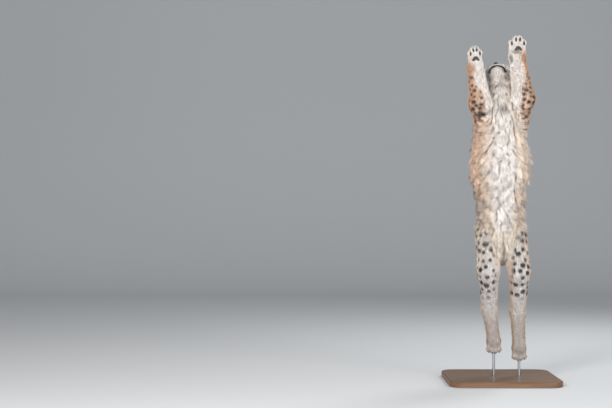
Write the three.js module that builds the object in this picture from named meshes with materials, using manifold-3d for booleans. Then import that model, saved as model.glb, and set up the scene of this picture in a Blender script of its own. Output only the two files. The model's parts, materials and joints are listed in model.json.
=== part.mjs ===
// Eurasian lynx at full stretch in an upward leap: a still, life-size display model on a low stand.
// Millimetres. +X is the animal's left, +Y its back and +Z up, so the belly faces -Y.
// The origin is the centre of the stand's underside.
import * as THREE from 'three';
import { mergeVertices } from 'three/addons/utils/BufferGeometryUtils.js';
import Module from 'manifold-3d';

const wasm = await Module();
wasm.setup();

const point = (x, y, z) => new THREE.Vector3(x, y, z);
const mix = THREE.MathUtils.lerp;
const rad = THREE.MathUtils.degToRad;

// Driving dimensions
const GAP = 0.3;
const BASE = { width: 600, depth: 540, thick: 30, corner: 70, bevel: 5 };
const ROD = { radius: 7, sides: 16, intoFoot: 34 };
const EYE_RADIUS = 11.5;
const EAR = { height: 82, width: 66, depth: 40, wall: 5 };
const MIDLINE = 8;
// The long coat: how deep it lies, and the locks that stand for it
const TORSO_COAT = {
  depth: 34,
  length: 118,
  width: 72,
  thick: 11,
  rows: 8,
  around: 11,
  low: 690,
  high: 1376,
};
const NECK_COAT = {
  depth: 26,
  length: 84,
  width: 54,
  thick: 10,
  rows: 2,
  around: 9,
  low: 1452,
  high: 1530,
};
const CORE_FADE = 75;
const RUFF = { length: 56, width: 26, thick: 7, rows: 2, perRow: 4 };
const EAR_TUFT = { length: 34, width: 9, thick: 5 };

// Joints of the stretched skeleton. left is the animal's left, which is +X.
const spine = {
  rump: point(8, 24, 735),
  waist: point(3, 20, 885),
  chest: point(0, 2, 1165),
  withers: point(0, 8, 1365),
  nape: point(-10, 16, 1570),
};
const skull = point(-14, 24, 1640);
const sides = {
  left: {
    sign: 1,
    shoulder: point(84, -18, 1388),
    elbow: point(106, -98, 1530),
    wrist: point(76, -92, 1752),
    hip: point(80, 30, 795),
    knee: point(97, -34, 600),
    hock: point(100, 44, 375),
    ball: point(101, 6, 190),
    toes: 110,
    foreTip: 1866,
    foreLean: 0,
    foreWide: 1.08,
  },
  right: {
    sign: -1,
    shoulder: point(-82, -18, 1388),
    elbow: point(-120, -98, 1500),
    wrist: point(-148, -92, 1698),
    hip: point(-66, 30, 795),
    knee: point(-70, -32, 600),
    hock: point(-54, 46, 385),
    ball: point(-36, 12, 228),
    toes: 148,
    foreTip: 1811,
    foreLean: -4,
    foreWide: 0.82,
  },
};
const tail = [point(8, 92, 800), point(8, 150, 712), point(8, 176, 628)];

// Fields: a shape is a function of x, y, z that gives the distance to its surface, negative inside.
const ovalDistance = (u, v, w, a, b, c) => {
  const near = Math.hypot(u / a, v / b, w / c);
  const steep = Math.hypot(u / (a * a), v / (b * b), w / (c * c));
  return steep < 1e-9 ? -Math.min(a, b, c) : (near * (near - 1)) / steep;
};

const ball = (c, a, b = a, d = a) => (x, y, z) => ovalDistance(x - c.x, y - c.y, z - c.z, a, b, d);

// An oval limb from a to b. Each size is [half width, half depth].
function limb(a, b, sizeA, sizeB) {
  const axis = b.clone().sub(a);
  const length = axis.length();
  axis.normalize();
  const deep = point(0, 1, 0).addScaledVector(axis, -axis.y).normalize();
  const wide = deep.clone().cross(axis);
  return (x, y, z) => {
    const dx = x - a.x;
    const dy = y - a.y;
    const dz = z - a.z;
    const along = dx * axis.x + dy * axis.y + dz * axis.z;
    const t = Math.min(1, Math.max(0, along / length));
    const w = mix(sizeA[0], sizeB[0], t);
    const d = mix(sizeA[1], sizeB[1], t);
    const u = dx * wide.x + dy * wide.y + dz * wide.z;
    const v = dx * deep.x + dy * deep.y + dz * deep.z;
    return ovalDistance(u, v, along - t * length, w, d, (w + d) / 2);
  };
}

// Several shapes joined with a rounded seam about blend wide.
function joined(blend, shapes) {
  return (x, y, z) => {
    let best = shapes[0](x, y, z);
    for (let i = 1; i < shapes.length; i++) {
      const d = shapes[i](x, y, z);
      const h = Math.max(blend - Math.abs(best - d), 0) / blend;
      best = Math.min(best, d) - (h * h * blend) / 4;
    }
    return best;
  };
}

// A shape made upright at the origin, then leant about Y and moved to a place.
function leant(shape, place, degrees) {
  const c = Math.cos(rad(degrees));
  const s = Math.sin(rad(degrees));
  return (x, y, z) => {
    const dx = x - place.x;
    const dz = z - place.z;
    return shape(c * dx - s * dz, y - place.y, s * dx + c * dz);
  };
}

const trunk = [
  limb(spine.rump, spine.waist, [112, 104], [117, 112]),
  limb(spine.waist, spine.chest, [116, 112], [158, 150]),
  limb(spine.chest, spine.withers, [158, 150], [140, 128]),
  limb(spine.withers, spine.nape, [98, 108], [74, 80]),
  limb(point(-4, -52, 1430), point(-8, -22, 1560), [98, 78], [64, 58]),
];

const tailShape = joined(20, [
  limb(tail[0], tail[1], [34, 34], [31, 31]),
  limb(tail[1], tail[2], [31, 31], [26, 26]),
]);

function foreleg(side) {
  const { shoulder, elbow, wrist, sign } = side;
  const blade = point(sign * 78, 66, 1290);
  const elbowPoint = elbow.clone().add(point(sign * 12, -14, -10));
  return [
    limb(blade, shoulder, [50, 50], [60, 62]),
    limb(shoulder, elbow, [60, 64], [55, 58]),
    ball(elbowPoint, 40, 38, 44),
    limb(elbow, wrist, [60, 56], [46, 39]),
  ];
}

function hindleg(side) {
  const { hip, knee, hock, ball: foot, sign } = side;
  const buttock = hip.clone().add(point(sign * -4, 52, -70));
  const heel = hock.clone().add(point(0, 30, 22));
  return [
    limb(hip, knee, [70, 92], [60, 62]),
    limb(buttock, knee, [58, 56], [44, 40]),
    limb(knee, hock, [57, 60], [44, 40]),
    limb(hock, heel, [30, 28], [24, 22]),
    limb(hock, foot, [42, 38], [38, 30]),
  ];
}

// A paw that points up from its wrist, palm to -Y. Its length is from the wrist to the longest toe.
function forepaw(length, wide) {
  const toeShape = (place) => {
    const spread = place * 20 * wide;
    const reach = length - 8 - Math.abs(place) * 20;
    const root = point(spread * 0.72, 0, length * 0.34);
    const tip = point(spread, -9, reach);
    return joined(8, [limb(root, tip, [16, 18], [15.5, 17]), ball(tip, 16.5, 18, 16)]);
  };
  const palm = joined(14, [
    ball(point(0, 0, length * 0.36), 43 * wide, 26, 42),
    ball(point(0, -14, length * 0.3), 23, 17, 17),
    ball(point(-30, -8, 2), 15, 15, 19),
  ]);
  return joined(12, [palm, ...[-1.5, -0.5, 0.5, 1.5].map(toeShape)]);
}

// A foot that hangs from the ball of the foot, toes down and a little forward, sole to +Y.
function hindpaw(length) {
  const toeShape = (place) => {
    const spread = place * 19;
    const reach = -length + 15 + Math.abs(place) * 6;
    const root = point(spread * 0.75, 0, -length * 0.2);
    const tip = point(spread, -10, reach);
    return joined(8, [limb(root, tip, [14, 17], [13.5, 16]), ball(tip, 14.5, 17, 15)]);
  };
  const sole = joined(12, [
    ball(point(0, 2, -length * 0.24), 37, 26, 34),
    ball(point(0, 17, -length * 0.36), 21, 15, 16),
  ]);
  return joined(7, [sole, ...[-1.5, -0.5, 0.5, 1.5].map(toeShape)]);
}

// The head in its own frame: nose to +Z, crown to +Y, its origin in the middle of the skull.
const headParts = {
  nose: point(0, 3, 88),
  eye: point(29, 27, 37),
  ear: point(42, 42, -34),
  pad: point(27, -8, 62),
  mouthY: -22,
};
function headShape() {
  const both = (make) => [make(1), make(-1)];
  const face = joined(16, [
    ball(point(0, 20, -14), 60, 52, 66),
    limb(point(0, 40, 18), point(0, 14, 74), [25, 20], [15, 13]),
    limb(point(0, -10, 20), point(0, -6, 66), [42, 30], [26, 22]),
    limb(point(0, -30, -28), point(0, -32, 24), [46, 26], [42, 24]),
    ...both((s) => ball(point(s * 50, 2, 16), 35, 33, 42)),
    ...both((s) => ball(point(s * 50, -16, -34), 36, 40, 44)),
    ...both((s) => limb(point(s * 12, 48, 30), point(s * 40, 42, 22), [12, 11], [11, 10])),
  ]);
  return joined(5, [
    face,
    ...both((s) => ball(headParts.pad.clone().multiply(point(s, 1, 1)), 27, 20, 24)),
    ball(point(0, -34, 26), 41, 23, 42),
    ball(headParts.nose, 13, 9, 9),
  ]);
}

const HEAD_LEAN = -4;
const head = leant(headShape(), skull, HEAD_LEAN);

const paws = {};
for (const [name, side] of Object.entries(sides)) {
  paws[name] = {
    fore: leant(forepaw(side.foreTip - side.wrist.z, side.foreWide), side.wrist, side.foreLean),
    hind: leant(hindpaw(side.ball.z - side.toes), side.ball, 0),
  };
}
const flesh = joined(34, [...trunk, ...Object.values(sides).flatMap((s) => foreleg(s))]);
const haunches = Object.fromEntries(
  Object.entries(sides).map(([name, s]) => [name, joined(26, hindleg(s))]),
);
const body = joined(26, [
  flesh,
  joined(9, [haunches.left, haunches.right]),
  head,
  paws.left.fore,
  paws.right.fore,
  paws.left.hind,
  paws.right.hind,
]);

// A closed surface where a field is zero, on a grid of cells inside a box, by surface nets.
function surfaceOf(field, box, cell) {
  const size = box.getSize(point(0, 0, 0));
  const count = ['x', 'y', 'z'].map((k) => Math.ceil(size[k] / cell) + 2);
  const start = box.min.clone().subScalar(cell / 2);
  const index = (i, j, k) => i + count[0] * (j + count[1] * k);
  const value = new Float32Array(count[0] * count[1] * count[2]);
  const onRim = new Uint8Array(value.length);
  const onEdge = (n, axis) => n === 0 || n === count[axis] - 1;
  for (let k = 0; k < count[2]; k++)
    for (let j = 0; j < count[1]; j++)
      for (let i = 0; i < count[0]; i++) {
        const d = field(start.x + i * cell, start.y + j * cell, start.z + k * cell);
        onRim[index(i, j, k)] = onEdge(i, 0) || onEdge(j, 1) || onEdge(k, 2);
        value[index(i, j, k)] = onRim[index(i, j, k)] ? Math.max(d, cell / 4) : d || 1e-4;
      }

  // Where only opposite corners of a grid square are inside, a third is filled in, so that no two
  // sheets of the surface share an edge.
  const strides = [1, count[0], count[0] * count[1]];
  for (let changed = true; changed; ) {
    changed = false;
    for (const [p, q] of [[0, 1], [1, 2], [2, 0]])
      for (let n = 0; n + strides[p] + strides[q] < value.length; n++) {
        if (onRim[n] || onRim[n + strides[p] + strides[q]]) continue;
        const square = [n, n + strides[p], n + strides[p] + strides[q], n + strides[q]];
        const signs = square.map((m) => value[m] < 0);
        if (signs[0] !== signs[2] || signs[1] !== signs[3] || signs[0] === signs[1]) continue;
        const filled = square[signs[0] ? 1 : 0];
        if (onRim[filled]) continue;
        value[filled] = -cell / 20;
        changed = true;
      }
  }

  // Each patch of inside corners in a cell gets one vertex, at the middle of its cut edges.
  const corners = [0, 1, 2, 3, 4, 5, 6, 7].map((n) => [n & 1, (n >> 1) & 1, (n >> 2) & 1]);
  const cellVertex = new Map();
  const vertices = [];
  for (let k = 0; k < count[2] - 1; k++)
    for (let j = 0; j < count[1] - 1; j++)
      for (let i = 0; i < count[0] - 1; i++) {
        const d = corners.map(([a, b, c]) => value[index(i + a, j + b, k + c)]);
        const inside = d.filter((n) => n < 0).length;
        if (inside === 0 || inside === 8) continue;
        const owner = new Array(8).fill(-1);
        for (let first = 0; first < 8; first++) {
          if (d[first] >= 0 || owner[first] >= 0) continue;
          const sum = point(0, 0, 0);
          let crossings = 0;
          const patch = [first];
          owner[first] = vertices.length;
          while (patch.length) {
            const from = patch.pop();
            for (const bit of [1, 2, 4]) {
              const to = from ^ bit;
              if (d[to] < 0) {
                if (owner[to] < 0) patch.push(to);
                owner[to] = vertices.length;
                continue;
              }
              const t = d[from] / (d[from] - d[to]);
              const [p, q] = [corners[from], corners[to]];
              sum.add(point(mix(p[0], q[0], t), mix(p[1], q[1], t), mix(p[2], q[2], t)));
              crossings++;
            }
          }
          sum.divideScalar(crossings).add(point(i, j, k)).multiplyScalar(cell).add(start);
          vertices.push(onto(field, sum, cell));
        }
        cellVertex.set(index(i, j, k), owner);
      }

  const triangles = [];
  const steps = [[1, 0, 0], [0, 1, 0], [0, 0, 1]];
  for (let k = 0; k < count[2] - 1; k++)
    for (let j = 0; j < count[1] - 1; j++)
      for (let i = 0; i < count[0] - 1; i++)
        steps.forEach((step, axis) => {
          if ([i, j, k].some((n, w) => n === 0 && w !== axis)) return;
          const here = value[index(i, j, k)] < 0;
          if (here === value[index(i + step[0], j + step[1], k + step[2])] < 0) return;
          const [p, q] = [steps[(axis + 1) % 3], steps[(axis + 2) % 3]];
          const around = [[0, 0], [1, 0], [1, 1], [0, 1]].map(([m, n]) => {
            const back = [0, 1, 2].map((w) => m * p[w] + n * q[w]);
            const corner = [0, 1, 2].map((w) => back[w] + (here ? 0 : step[w]));
            const owner = cellVertex.get(index(i - back[0], j - back[1], k - back[2]));
            return owner[corner[0] + 2 * corner[1] + 4 * corner[2]];
          });
          const ring = here ? around : around.reverse();
          const shortFirst = vertices[ring[0]].distanceTo(vertices[ring[2]])
            < vertices[ring[1]].distanceTo(vertices[ring[3]]);
          const order = shortFirst ? [0, 1, 2, 0, 2, 3] : [1, 2, 3, 1, 3, 0];
          triangles.push(...order.map((n) => ring[n]));
        });
  return solidFrom(vertices, triangles);
}

// Moves a point of the grid's surface onto the field's true surface, where that is close by.
function onto(field, p, cell) {
  const d = field(p.x, p.y, p.z);
  if (Math.abs(d) > cell / 3) return p;
  const n = slope(field, p);
  return p.clone().addScaledVector(n, -d);
}

function slope(field, p) {
  const h = 0.5;
  return point(
    field(p.x + h, p.y, p.z) - field(p.x - h, p.y, p.z),
    field(p.x, p.y + h, p.z) - field(p.x, p.y - h, p.z),
    field(p.x, p.y, p.z + h) - field(p.x, p.y, p.z - h),
  ).normalize();
}

// Solids and meshes
function solidFrom(vertices, triangles) {
  const vertProperties = new Float32Array(vertices.flatMap((p) => [p.x, p.y, p.z]));
  const mesh = new wasm.Mesh({ numProp: 3, vertProperties, triVerts: new Uint32Array(triangles) });
  return new wasm.Manifold(mesh);
}

function solidOf(geometry, place = new THREE.Matrix4()) {
  const bare = geometry.clone().applyMatrix4(place);
  bare.deleteAttribute('normal');
  bare.deleteAttribute('uv');
  const merged = mergeVertices(bare, 1e-3);
  const vertProperties = new Float32Array(merged.attributes.position.array);
  const triVerts = new Uint32Array(merged.index.array);
  return new wasm.Manifold(new wasm.Mesh({ numProp: 3, vertProperties, triVerts }));
}

// A copy of a solid moved along, which cuts what lies against it back by the gap.
function shifted(solid, way) {
  const { vertProperties, triVerts } = solid.getMesh();
  const moved = vertProperties.map((n, i) => n + way.getComponent(i % 3));
  const mesh = new wasm.Mesh({ numProp: 3, vertProperties: moved, triVerts });
  return new wasm.Manifold(mesh);
}

function largest(solid) {
  return solid.decompose().reduce((a, b) => (b.volume() > a.volume() ? b : a));
}

function meshOf(name, solid, material) {
  const { vertProperties, triVerts } = solid.getMesh();
  const geometry = new THREE.BufferGeometry()
    .setAttribute('position', new THREE.BufferAttribute(new Float32Array(vertProperties), 3))
    .setIndex(new THREE.BufferAttribute(new Uint32Array(triVerts), 1));
  geometry.computeVertexNormals();
  const mesh = new THREE.Mesh(geometry, material);
  mesh.name = name;
  return mesh;
}

// A parting plane through p. side 1 keeps what its normal points to, and -1 the rest.
function half(p, normal, side = 1) {
  const reach = 4000;
  const n = normal.clone().normalize().multiplyScalar(side);
  const turn = new THREE.Quaternion().setFromUnitVectors(point(0, 0, 1), n);
  const centre = p.clone().addScaledVector(n, reach / 2 + GAP / 2);
  const place = new THREE.Matrix4().compose(centre, turn, point(1, 1, 1));
  return solidOf(new THREE.BoxGeometry(reach, reach, reach), place);
}

const direction = (a, b) => b.clone().sub(a);
const planes = {
  shoulder: [point(0, 0, 1400), point(0, 0, 1)],
  throat: [point(-10, 10, 1576), point(0, 0.2, 1)],
  middle: [point(MIDLINE, 0, 0), point(1, 0, 0)],
  left: { neck: [point(57, -50, 1640), point(0.7, -0.72, 0)] },
  right: { neck: [point(-88, -50, 1640), point(-0.73, -0.69, 0)] },
};
for (const [name, s] of Object.entries(sides)) {
  planes[name].elbow = [s.elbow, direction(s.shoulder, s.wrist)];
  planes[name].wrist = [s.wrist, point(0, 0, 1)];
  planes[name].hip = [point(MIDLINE, 0, 690), point(s.sign * 0.62, 0, -0.78)];
  planes[name].knee = [s.knee, direction(s.hip, s.hock)];
  planes[name].hock = [s.hock.clone().add(point(0, 0, -14)), point(0, 0, -1)];
}

function boxAround(points, margin) {
  return new THREE.Box3().setFromPoints(points).expandByScalar(margin);
}

// One node of flesh: the body's surface in a box, cut by its planes, with any locks joined on.
function fleshNode(box, cell, cuts, { field = body, extra = [], carve = [] } = {}) {
  const cutters = cuts.map(([plane, side]) => half(plane[0], plane[1], side));
  const trimmed = (solid) => cutters.reduce((a, b) => a.intersect(b), solid);
  let solid = largest(trimmed(surfaceOf(field, box, cell)));
  if (extra.length) solid = largest(trimmed(wasm.Manifold.union([solid, ...extra])));
  for (const hollow of carve) solid = solid.subtract(hollow);
  return largest(solid);
}

// A seeded draw from 0 to 1, the same in every run.
let seed = 7;
function draw() {
  seed = (seed * 16807) % 2147483647;
  return seed / 2147483647;
}

// Moves a point to a given distance from a field's surface.
function atLevel(field, p, level) {
  const q = p.clone();
  for (let n = 0; n < 4; n++) q.addScaledVector(slope(field, q), level - field(q.x, q.y, q.z));
  return q;
}

// A flat, tapered lock through its centres: a ring of four points at each, a point at each end.
function lockSolid(centres, normal, widths, thick) {
  const last = centres.length - 1;
  const vertices = [centres[0]];
  for (let i = 1; i < last; i++) {
    const along = direction(centres[i - 1], centres[i + 1]).normalize();
    const across = along.clone().cross(normal).normalize().multiplyScalar(widths[i - 1] / 2);
    const out = across.clone().cross(along).setLength(thick / 2);
    vertices.push(
      centres[i].clone().sub(across),
      centres[i].clone().add(out),
      centres[i].clone().add(across),
      centres[i].clone().sub(out),
    );
  }
  vertices.push(centres[last]);
  const tip = vertices.length - 1;
  const triangles = [];
  for (let k = 0; k < 4; k++) {
    const m = (k + 1) % 4;
    triangles.push(0, 1 + m, 1 + k);
    for (let i = 1; i < last - 1; i++) {
      const [a, b] = [4 * i - 3 + k, 4 * i - 3 + m];
      triangles.push(a, b, a + 4, b, b + 4, a + 4);
    }
    triangles.push(4 * last - 7 + k, 4 * last - 7 + m, tip);
  }
  const solid = solidFrom(vertices, triangles);
  return solid.volume() > 0 ? solid : solidFrom(vertices, flipped(triangles));
}

const flipped = (triangles) => triangles.map((n, i) => triangles[i + (i % 3 === 1) - (i % 3 === 2)]);

// A lock that starts inside the core under a field and bends over along the lie to its surface.
function coatLock(field, from, lie, coat) {
  const normal = slope(field, from);
  const flat = lie.clone().addScaledVector(normal, -normal.dot(lie)).normalize();
  flat.applyAxisAngle(normal, (draw() - 0.5) * 0.45);
  const length = coat.length * mix(0.85, 1.1, draw());
  const levels = [-coat.depth * 1.05, -coat.depth * 0.42, -coat.depth * 0.14, 0];
  const centres = [0, 0.26, 0.62, 1].map((t, i) =>
    atLevel(field, from.clone().addScaledVector(flat, t * length), levels[i]));
  return lockSolid(centres, normal, [coat.width * 0.9, coat.width * 0.72], coat.thick);
}

// Rows of locks round an upright stretch of the body, each row shifted half a step from the last.
function locksAround(coat) {
  const locks = [];
  for (let row = 0; row < coat.rows; row++) {
    const z = mix(coat.high, coat.low, row / (coat.rows - 1));
    for (let n = 0; n < coat.around; n++) {
      const a = ((n + (row % 2) / 2 + (draw() - 0.5) * 0.2) / coat.around) * Math.PI * 2;
      const from = point(0, 10, z + (draw() - 0.5) * 24);
      const out = point(Math.sin(a), Math.cos(a), 0);
      let reach = 230;
      for (let k = 0; k < 24; k++) {
        const p = from.clone().addScaledVector(out, reach);
        reach -= body(p.x, p.y, p.z) * 0.9;
      }
      const lie = point(out.x * 0.1, out.y * 0.1, -1);
      locks.push(coatLock(body, from.addScaledVector(out, reach), lie, coat));
    }
  }
  return locks;
}

// The core under a coat, half way in, which comes back out to the outline where the node is parted.
function coreOf(field, coat, edges) {
  const sheets = edges.map(([p, normal]) => [p, normal.clone().normalize()]);
  return (x, y, z) => {
    let near = CORE_FADE;
    for (const [p, n] of sheets)
      near = Math.min(near, Math.abs((x - p.x) * n.x + (y - p.y) * n.y + (z - p.z) * n.z));
    return field(x, y, z) + (coat.depth / 2) * (near / CORE_FADE);
  };
}

// Materials, with colours read from the photograph
const finish = (color, roughness, metalness = 0) =>
  new THREE.MeshStandardMaterial({ color, roughness, metalness });
const fur = {
  belly: finish('#e4dacd', 0.95),
  flank: finish('#c9a27e', 0.95),
  leg: finish('#c8b8a6', 0.95),
  foot: finish('#a58f7b', 0.95),
  tail: finish('#8d7a68', 0.95),
  ear: finish('#4a4038', 0.95),
};
const eyeFinish = finish('#b98a35', 0.1);
const wood = finish('#5d4532', 0.5);
const steel = finish('#8d9093', 0.35, 1);

const group = new THREE.Group();
const built = {};
const add = (name, solid, material) => {
  built[name] = solid;
  group.add(meshOf(name, solid, material));
};
// What grows from other nodes gives way to them, and keeps clear of them along its own axis.
const rooted = (solid, names, axis) => {
  const way = axis.clone().setLength(GAP * 2);
  const cutBack = (a, name) => a.subtract(built[name]).subtract(shifted(built[name], way));
  return largest(names.reduce(cutBack, solid));
};

// Trunk
add('torso', fleshNode(
  boxAround([point(-170, -170, 640), point(180, 190, 1440)], 20),
  44,
  [[planes.shoulder, -1], [planes.left.hip, -1], [planes.right.hip, -1]],
  {
    field: coreOf(body, TORSO_COAT, [planes.shoulder, planes.left.hip, planes.right.hip]),
    extra: locksAround(TORSO_COAT),
  },
), fur.belly);
const neckEdges = [planes.shoulder, planes.throat, planes.left.neck, planes.right.neck];
add('neck', fleshNode(
  boxAround([spine.withers, spine.nape], 120),
  28,
  [
    [planes.shoulder, 1],
    [planes.throat, -1],
    [planes.left.neck, -1],
    [planes.right.neck, -1],
  ],
  {
    field: coreOf(body, NECK_COAT, neckEdges),
    extra: locksAround(NECK_COAT),
  },
), fur.belly);

// Legs
for (const [name, s] of Object.entries(sides)) {
  const cut = planes[name];
  const rodTop = s.toes + ROD.intoFoot;
  const rodAt = (radius, low, high) => {
    const shape = new THREE.CylinderGeometry(radius, radius, high - low, ROD.sides);
    shape.rotateX(Math.PI / 2);
    return solidOf(shape.translate(s.ball.x, s.ball.y - 4, (low + high) / 2));
  };
  add('upper_arm_' + name, fleshNode(
    boxAround([s.shoulder, s.elbow], 95),
    22,
    [[planes.shoulder, 1], [cut.neck, 1], [cut.elbow, -1]],
  ), fur.flank);
  add('forearm_' + name, fleshNode(
    boxAround([s.elbow, s.wrist], 75),
    23,
    [[cut.elbow, 1], [cut.neck, 1], [cut.wrist, -1]],
  ), fur.flank);
  add('forepaw_' + name, fleshNode(
    boxAround([s.wrist, point(s.wrist.x, s.wrist.y, s.foreTip)], 62),
    12.5,
    [[cut.wrist, 1]],
  ), fur.belly);
  add('thigh_' + name, fleshNode(
    boxAround([s.hip, s.knee], 130),
    25,
    [[cut.hip, 1], [planes.middle, s.sign], [cut.knee, -1]],
  ), fur.leg);
  add('shank_' + name, fleshNode(
    boxAround([s.knee, s.hock], 80),
    24,
    [[cut.knee, 1], [planes.middle, s.sign], [cut.hock, -1]],
  ), fur.leg);
  add('hindfoot_' + name, fleshNode(
    boxAround([s.hock, point(s.ball.x, s.ball.y, s.toes)], 62),
    16,
    [[cut.hock, 1], [planes.middle, s.sign]],
    { carve: [rodAt(ROD.radius + GAP, s.toes - 40, rodTop + GAP)] },
  ), fur.foot);
  add('stand_rod_' + name, rodAt(ROD.radius, BASE.thick + GAP, rodTop), steel);
}

const tailSolid = surfaceOf(tailShape, boxAround(tail, 50), 21);
const tailWay = direction(tail[0], tail[1]);
add('tail', rooted(tailSolid, ['torso', 'thigh_left', 'thigh_right'], tailWay), fur.tail);

// Head: sockets with lids, nostrils and the line of the mouth cut into it
const turned = (place, euler = new THREE.Euler(), scale = point(1, 1, 1)) => {
  const lean = new THREE.Matrix4().makeRotationY(rad(HEAD_LEAN)).setPosition(skull);
  const local = new THREE.Matrix4().compose(place, new THREE.Quaternion().setFromEuler(euler), scale);
  return lean.multiply(local);
};
const eyeSolids = {};
const lids = [];
const hollows = [];
for (const { sign } of Object.values(sides)) {
  const place = headParts.eye.clone().multiply(point(sign, 1, 1));
  const facing = new THREE.Euler(rad(-28), rad(sign * 26), 0);
  const ring = new THREE.TorusGeometry(EYE_RADIUS + 1, 4.2, 6, 16);
  const lidPlace = place.clone().add(point(sign * 1.5, 1.5, 5));
  lids.push(solidOf(ring, turned(lidPlace, facing, point(1.1, 0.86, 1))));
  const eyeball = (r) => solidOf(new THREE.SphereGeometry(r, 12, 8), turned(place));
  hollows.push(eyeball(EYE_RADIUS + GAP));
  eyeSolids[sign] = eyeball(EYE_RADIUS);
  const nostril = new THREE.SphereGeometry(3.4, 8, 6);
  hollows.push(solidOf(nostril, turned(point(sign * 6.5, 0.5, 96), undefined, point(1, 0.8, 1.4))));
}

// The mouth: a thin curved blade round the muzzle that leaves a groove where it enters the skin.
function mouthCut() {
  const outer = new THREE.Shape();
  const reach = { side: 52, front: 108, back: 34 };
  const depth = 9;
  outer.moveTo(-reach.side, reach.back);
  outer.lineTo(-reach.side, reach.front);
  outer.lineTo(reach.side, reach.front);
  outer.lineTo(reach.side, reach.back);
  outer.lineTo(46 - depth, reach.back);
  outer.quadraticCurveTo(40, 74 - depth, 0, 76 - depth);
  outer.quadraticCurveTo(-40, 74 - depth, -46 + depth, reach.back);
  outer.closePath();
  const blade = new THREE.ExtrudeGeometry(outer, { depth: 3.5, bevelEnabled: false, curveSegments: 5 });
  blade.rotateX(Math.PI / 2);
  blade.translate(0, headParts.mouthY, 0);
  return solidOf(blade, turned(point(0, 0, 0)));
}
hollows.push(mouthCut());

const headAndNeck = joined(26, [head, trunk[3]]);

// The ruff: locks from the cheeks that run back and out on both sides
function ruffLocks() {
  const locks = [];
  const upright = turned(point(0, 0, 0));
  for (const { sign } of Object.values(sides))
    for (let row = 0; row < RUFF.rows; row++)
      for (let n = 0; n < RUFF.perRow; n++) {
        const down = n / (RUFF.perRow - 1);
        const from = point(sign * mix(82, 72, row), mix(26, -44, down), mix(-34, 4, row));
        const root = atLevel(headAndNeck, from.applyMatrix4(upright), 0);
        const out = point(sign * 0.8, mix(0.25, -0.3, down), 0).transformDirection(upright);
        const centres = [[-8, 0], [6, 0.2], [17, 0.6], [24, 1]].map(([rise, along]) =>
          root.clone().addScaledVector(out, rise).add(point(0, 0, -along * RUFF.length)));
        const lock = lockSolid(centres, out, [RUFF.width * 0.9, RUFF.width * 0.7], RUFF.thick);
        const inner = ['left', 'right'].map((name) => half(...planes[name].neck, -1));
        locks.push(lock.intersect(inner[0]).intersect(inner[1]));
      }
  return locks;
}

add('head', fleshNode(
  boxAround([skull], 135),
  14,
  [[planes.throat, 1]],
  { field: headAndNeck, extra: [...lids, ...ruffLocks()], carve: hollows },
), fur.flank);
add('eye_left', eyeSolids[1], eyeFinish);
add('eye_right', eyeSolids[-1], eyeFinish);

// Ears: a cupped leaf that narrows to its tip, open to the front and side
function earSolid(sign) {
  const rings = 5;
  const sidesRound = 10;
  const leaf = (shrink, forward, low, top) => {
    const vertices = [];
    const triangles = [];
    for (let r = 0; r < rings; r++) {
      const t = r / rings;
      const wide = (EAR.width / 2 - shrink) * Math.sqrt(1 - t) * (1 - 0.22 * t);
      const deep = (EAR.depth / 2 - shrink) * (1 - t * 0.8);
      for (let n = 0; n < sidesRound; n++) {
        const a = (n / sidesRound) * Math.PI * 2;
        const y = mix(low, top, t);
        vertices.push(point(Math.cos(a) * wide, y, Math.sin(a) * deep + forward - t * 7));
      }
    }
    const tip = vertices.push(point(0, top, forward - 8)) - 1;
    const foot = vertices.push(point(0, low, forward)) - 1;
    for (let r = 0; r < rings; r++)
      for (let n = 0; n < sidesRound; n++) {
        const m = (n + 1) % sidesRound;
        const [a, b] = [r * sidesRound + n, r * sidesRound + m];
        const [c, d] = [a + sidesRound, b + sidesRound];
        if (r === 0) triangles.push(foot, a, b);
        if (r === rings - 1) triangles.push(a, tip, b);
        else triangles.push(a, c, b, b, c, d);
      }
    return [vertices, triangles];
  };
  const seat = new THREE.Matrix4()
    .makeRotationFromEuler(new THREE.Euler(rad(-42), rad(sign * 24), rad(sign * -26), 'YXZ'))
    .setPosition(headParts.ear.clone().multiply(point(sign, 1, 1)));
  const place = turned(point(0, 0, 0)).multiply(seat);
  const made = ([vertices, triangles]) =>
    solidFrom(vertices.map((p) => p.applyMatrix4(place)), triangles);
  const outer = made(leaf(0, 0, 0, EAR.height));
  const cup = made(leaf(EAR.wall, EAR.depth * 0.32, 12, EAR.height * 0.93));
  const tuftTip = EAR.height + EAR_TUFT.length;
  const tuftHeights = [EAR.height * 0.78, EAR.height * 0.9, EAR.height + 8, tuftTip];
  const tuftAt = tuftHeights.map((y) => point(0, y, -7).applyMatrix4(place));
  const facing = point(0, 0, -1).transformDirection(place);
  const tuft = lockSolid(tuftAt, facing, [EAR_TUFT.width, EAR_TUFT.width * 0.8], EAR_TUFT.thick);
  const cupped = largest(outer.subtract(cup).add(tuft));
  return rooted(cupped, ['head', 'neck'], point(0, 1, 0).transformDirection(place));
}
add('ear_left', earSolid(1), fur.ear);
add('ear_right', earSolid(-1), fur.ear);

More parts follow.
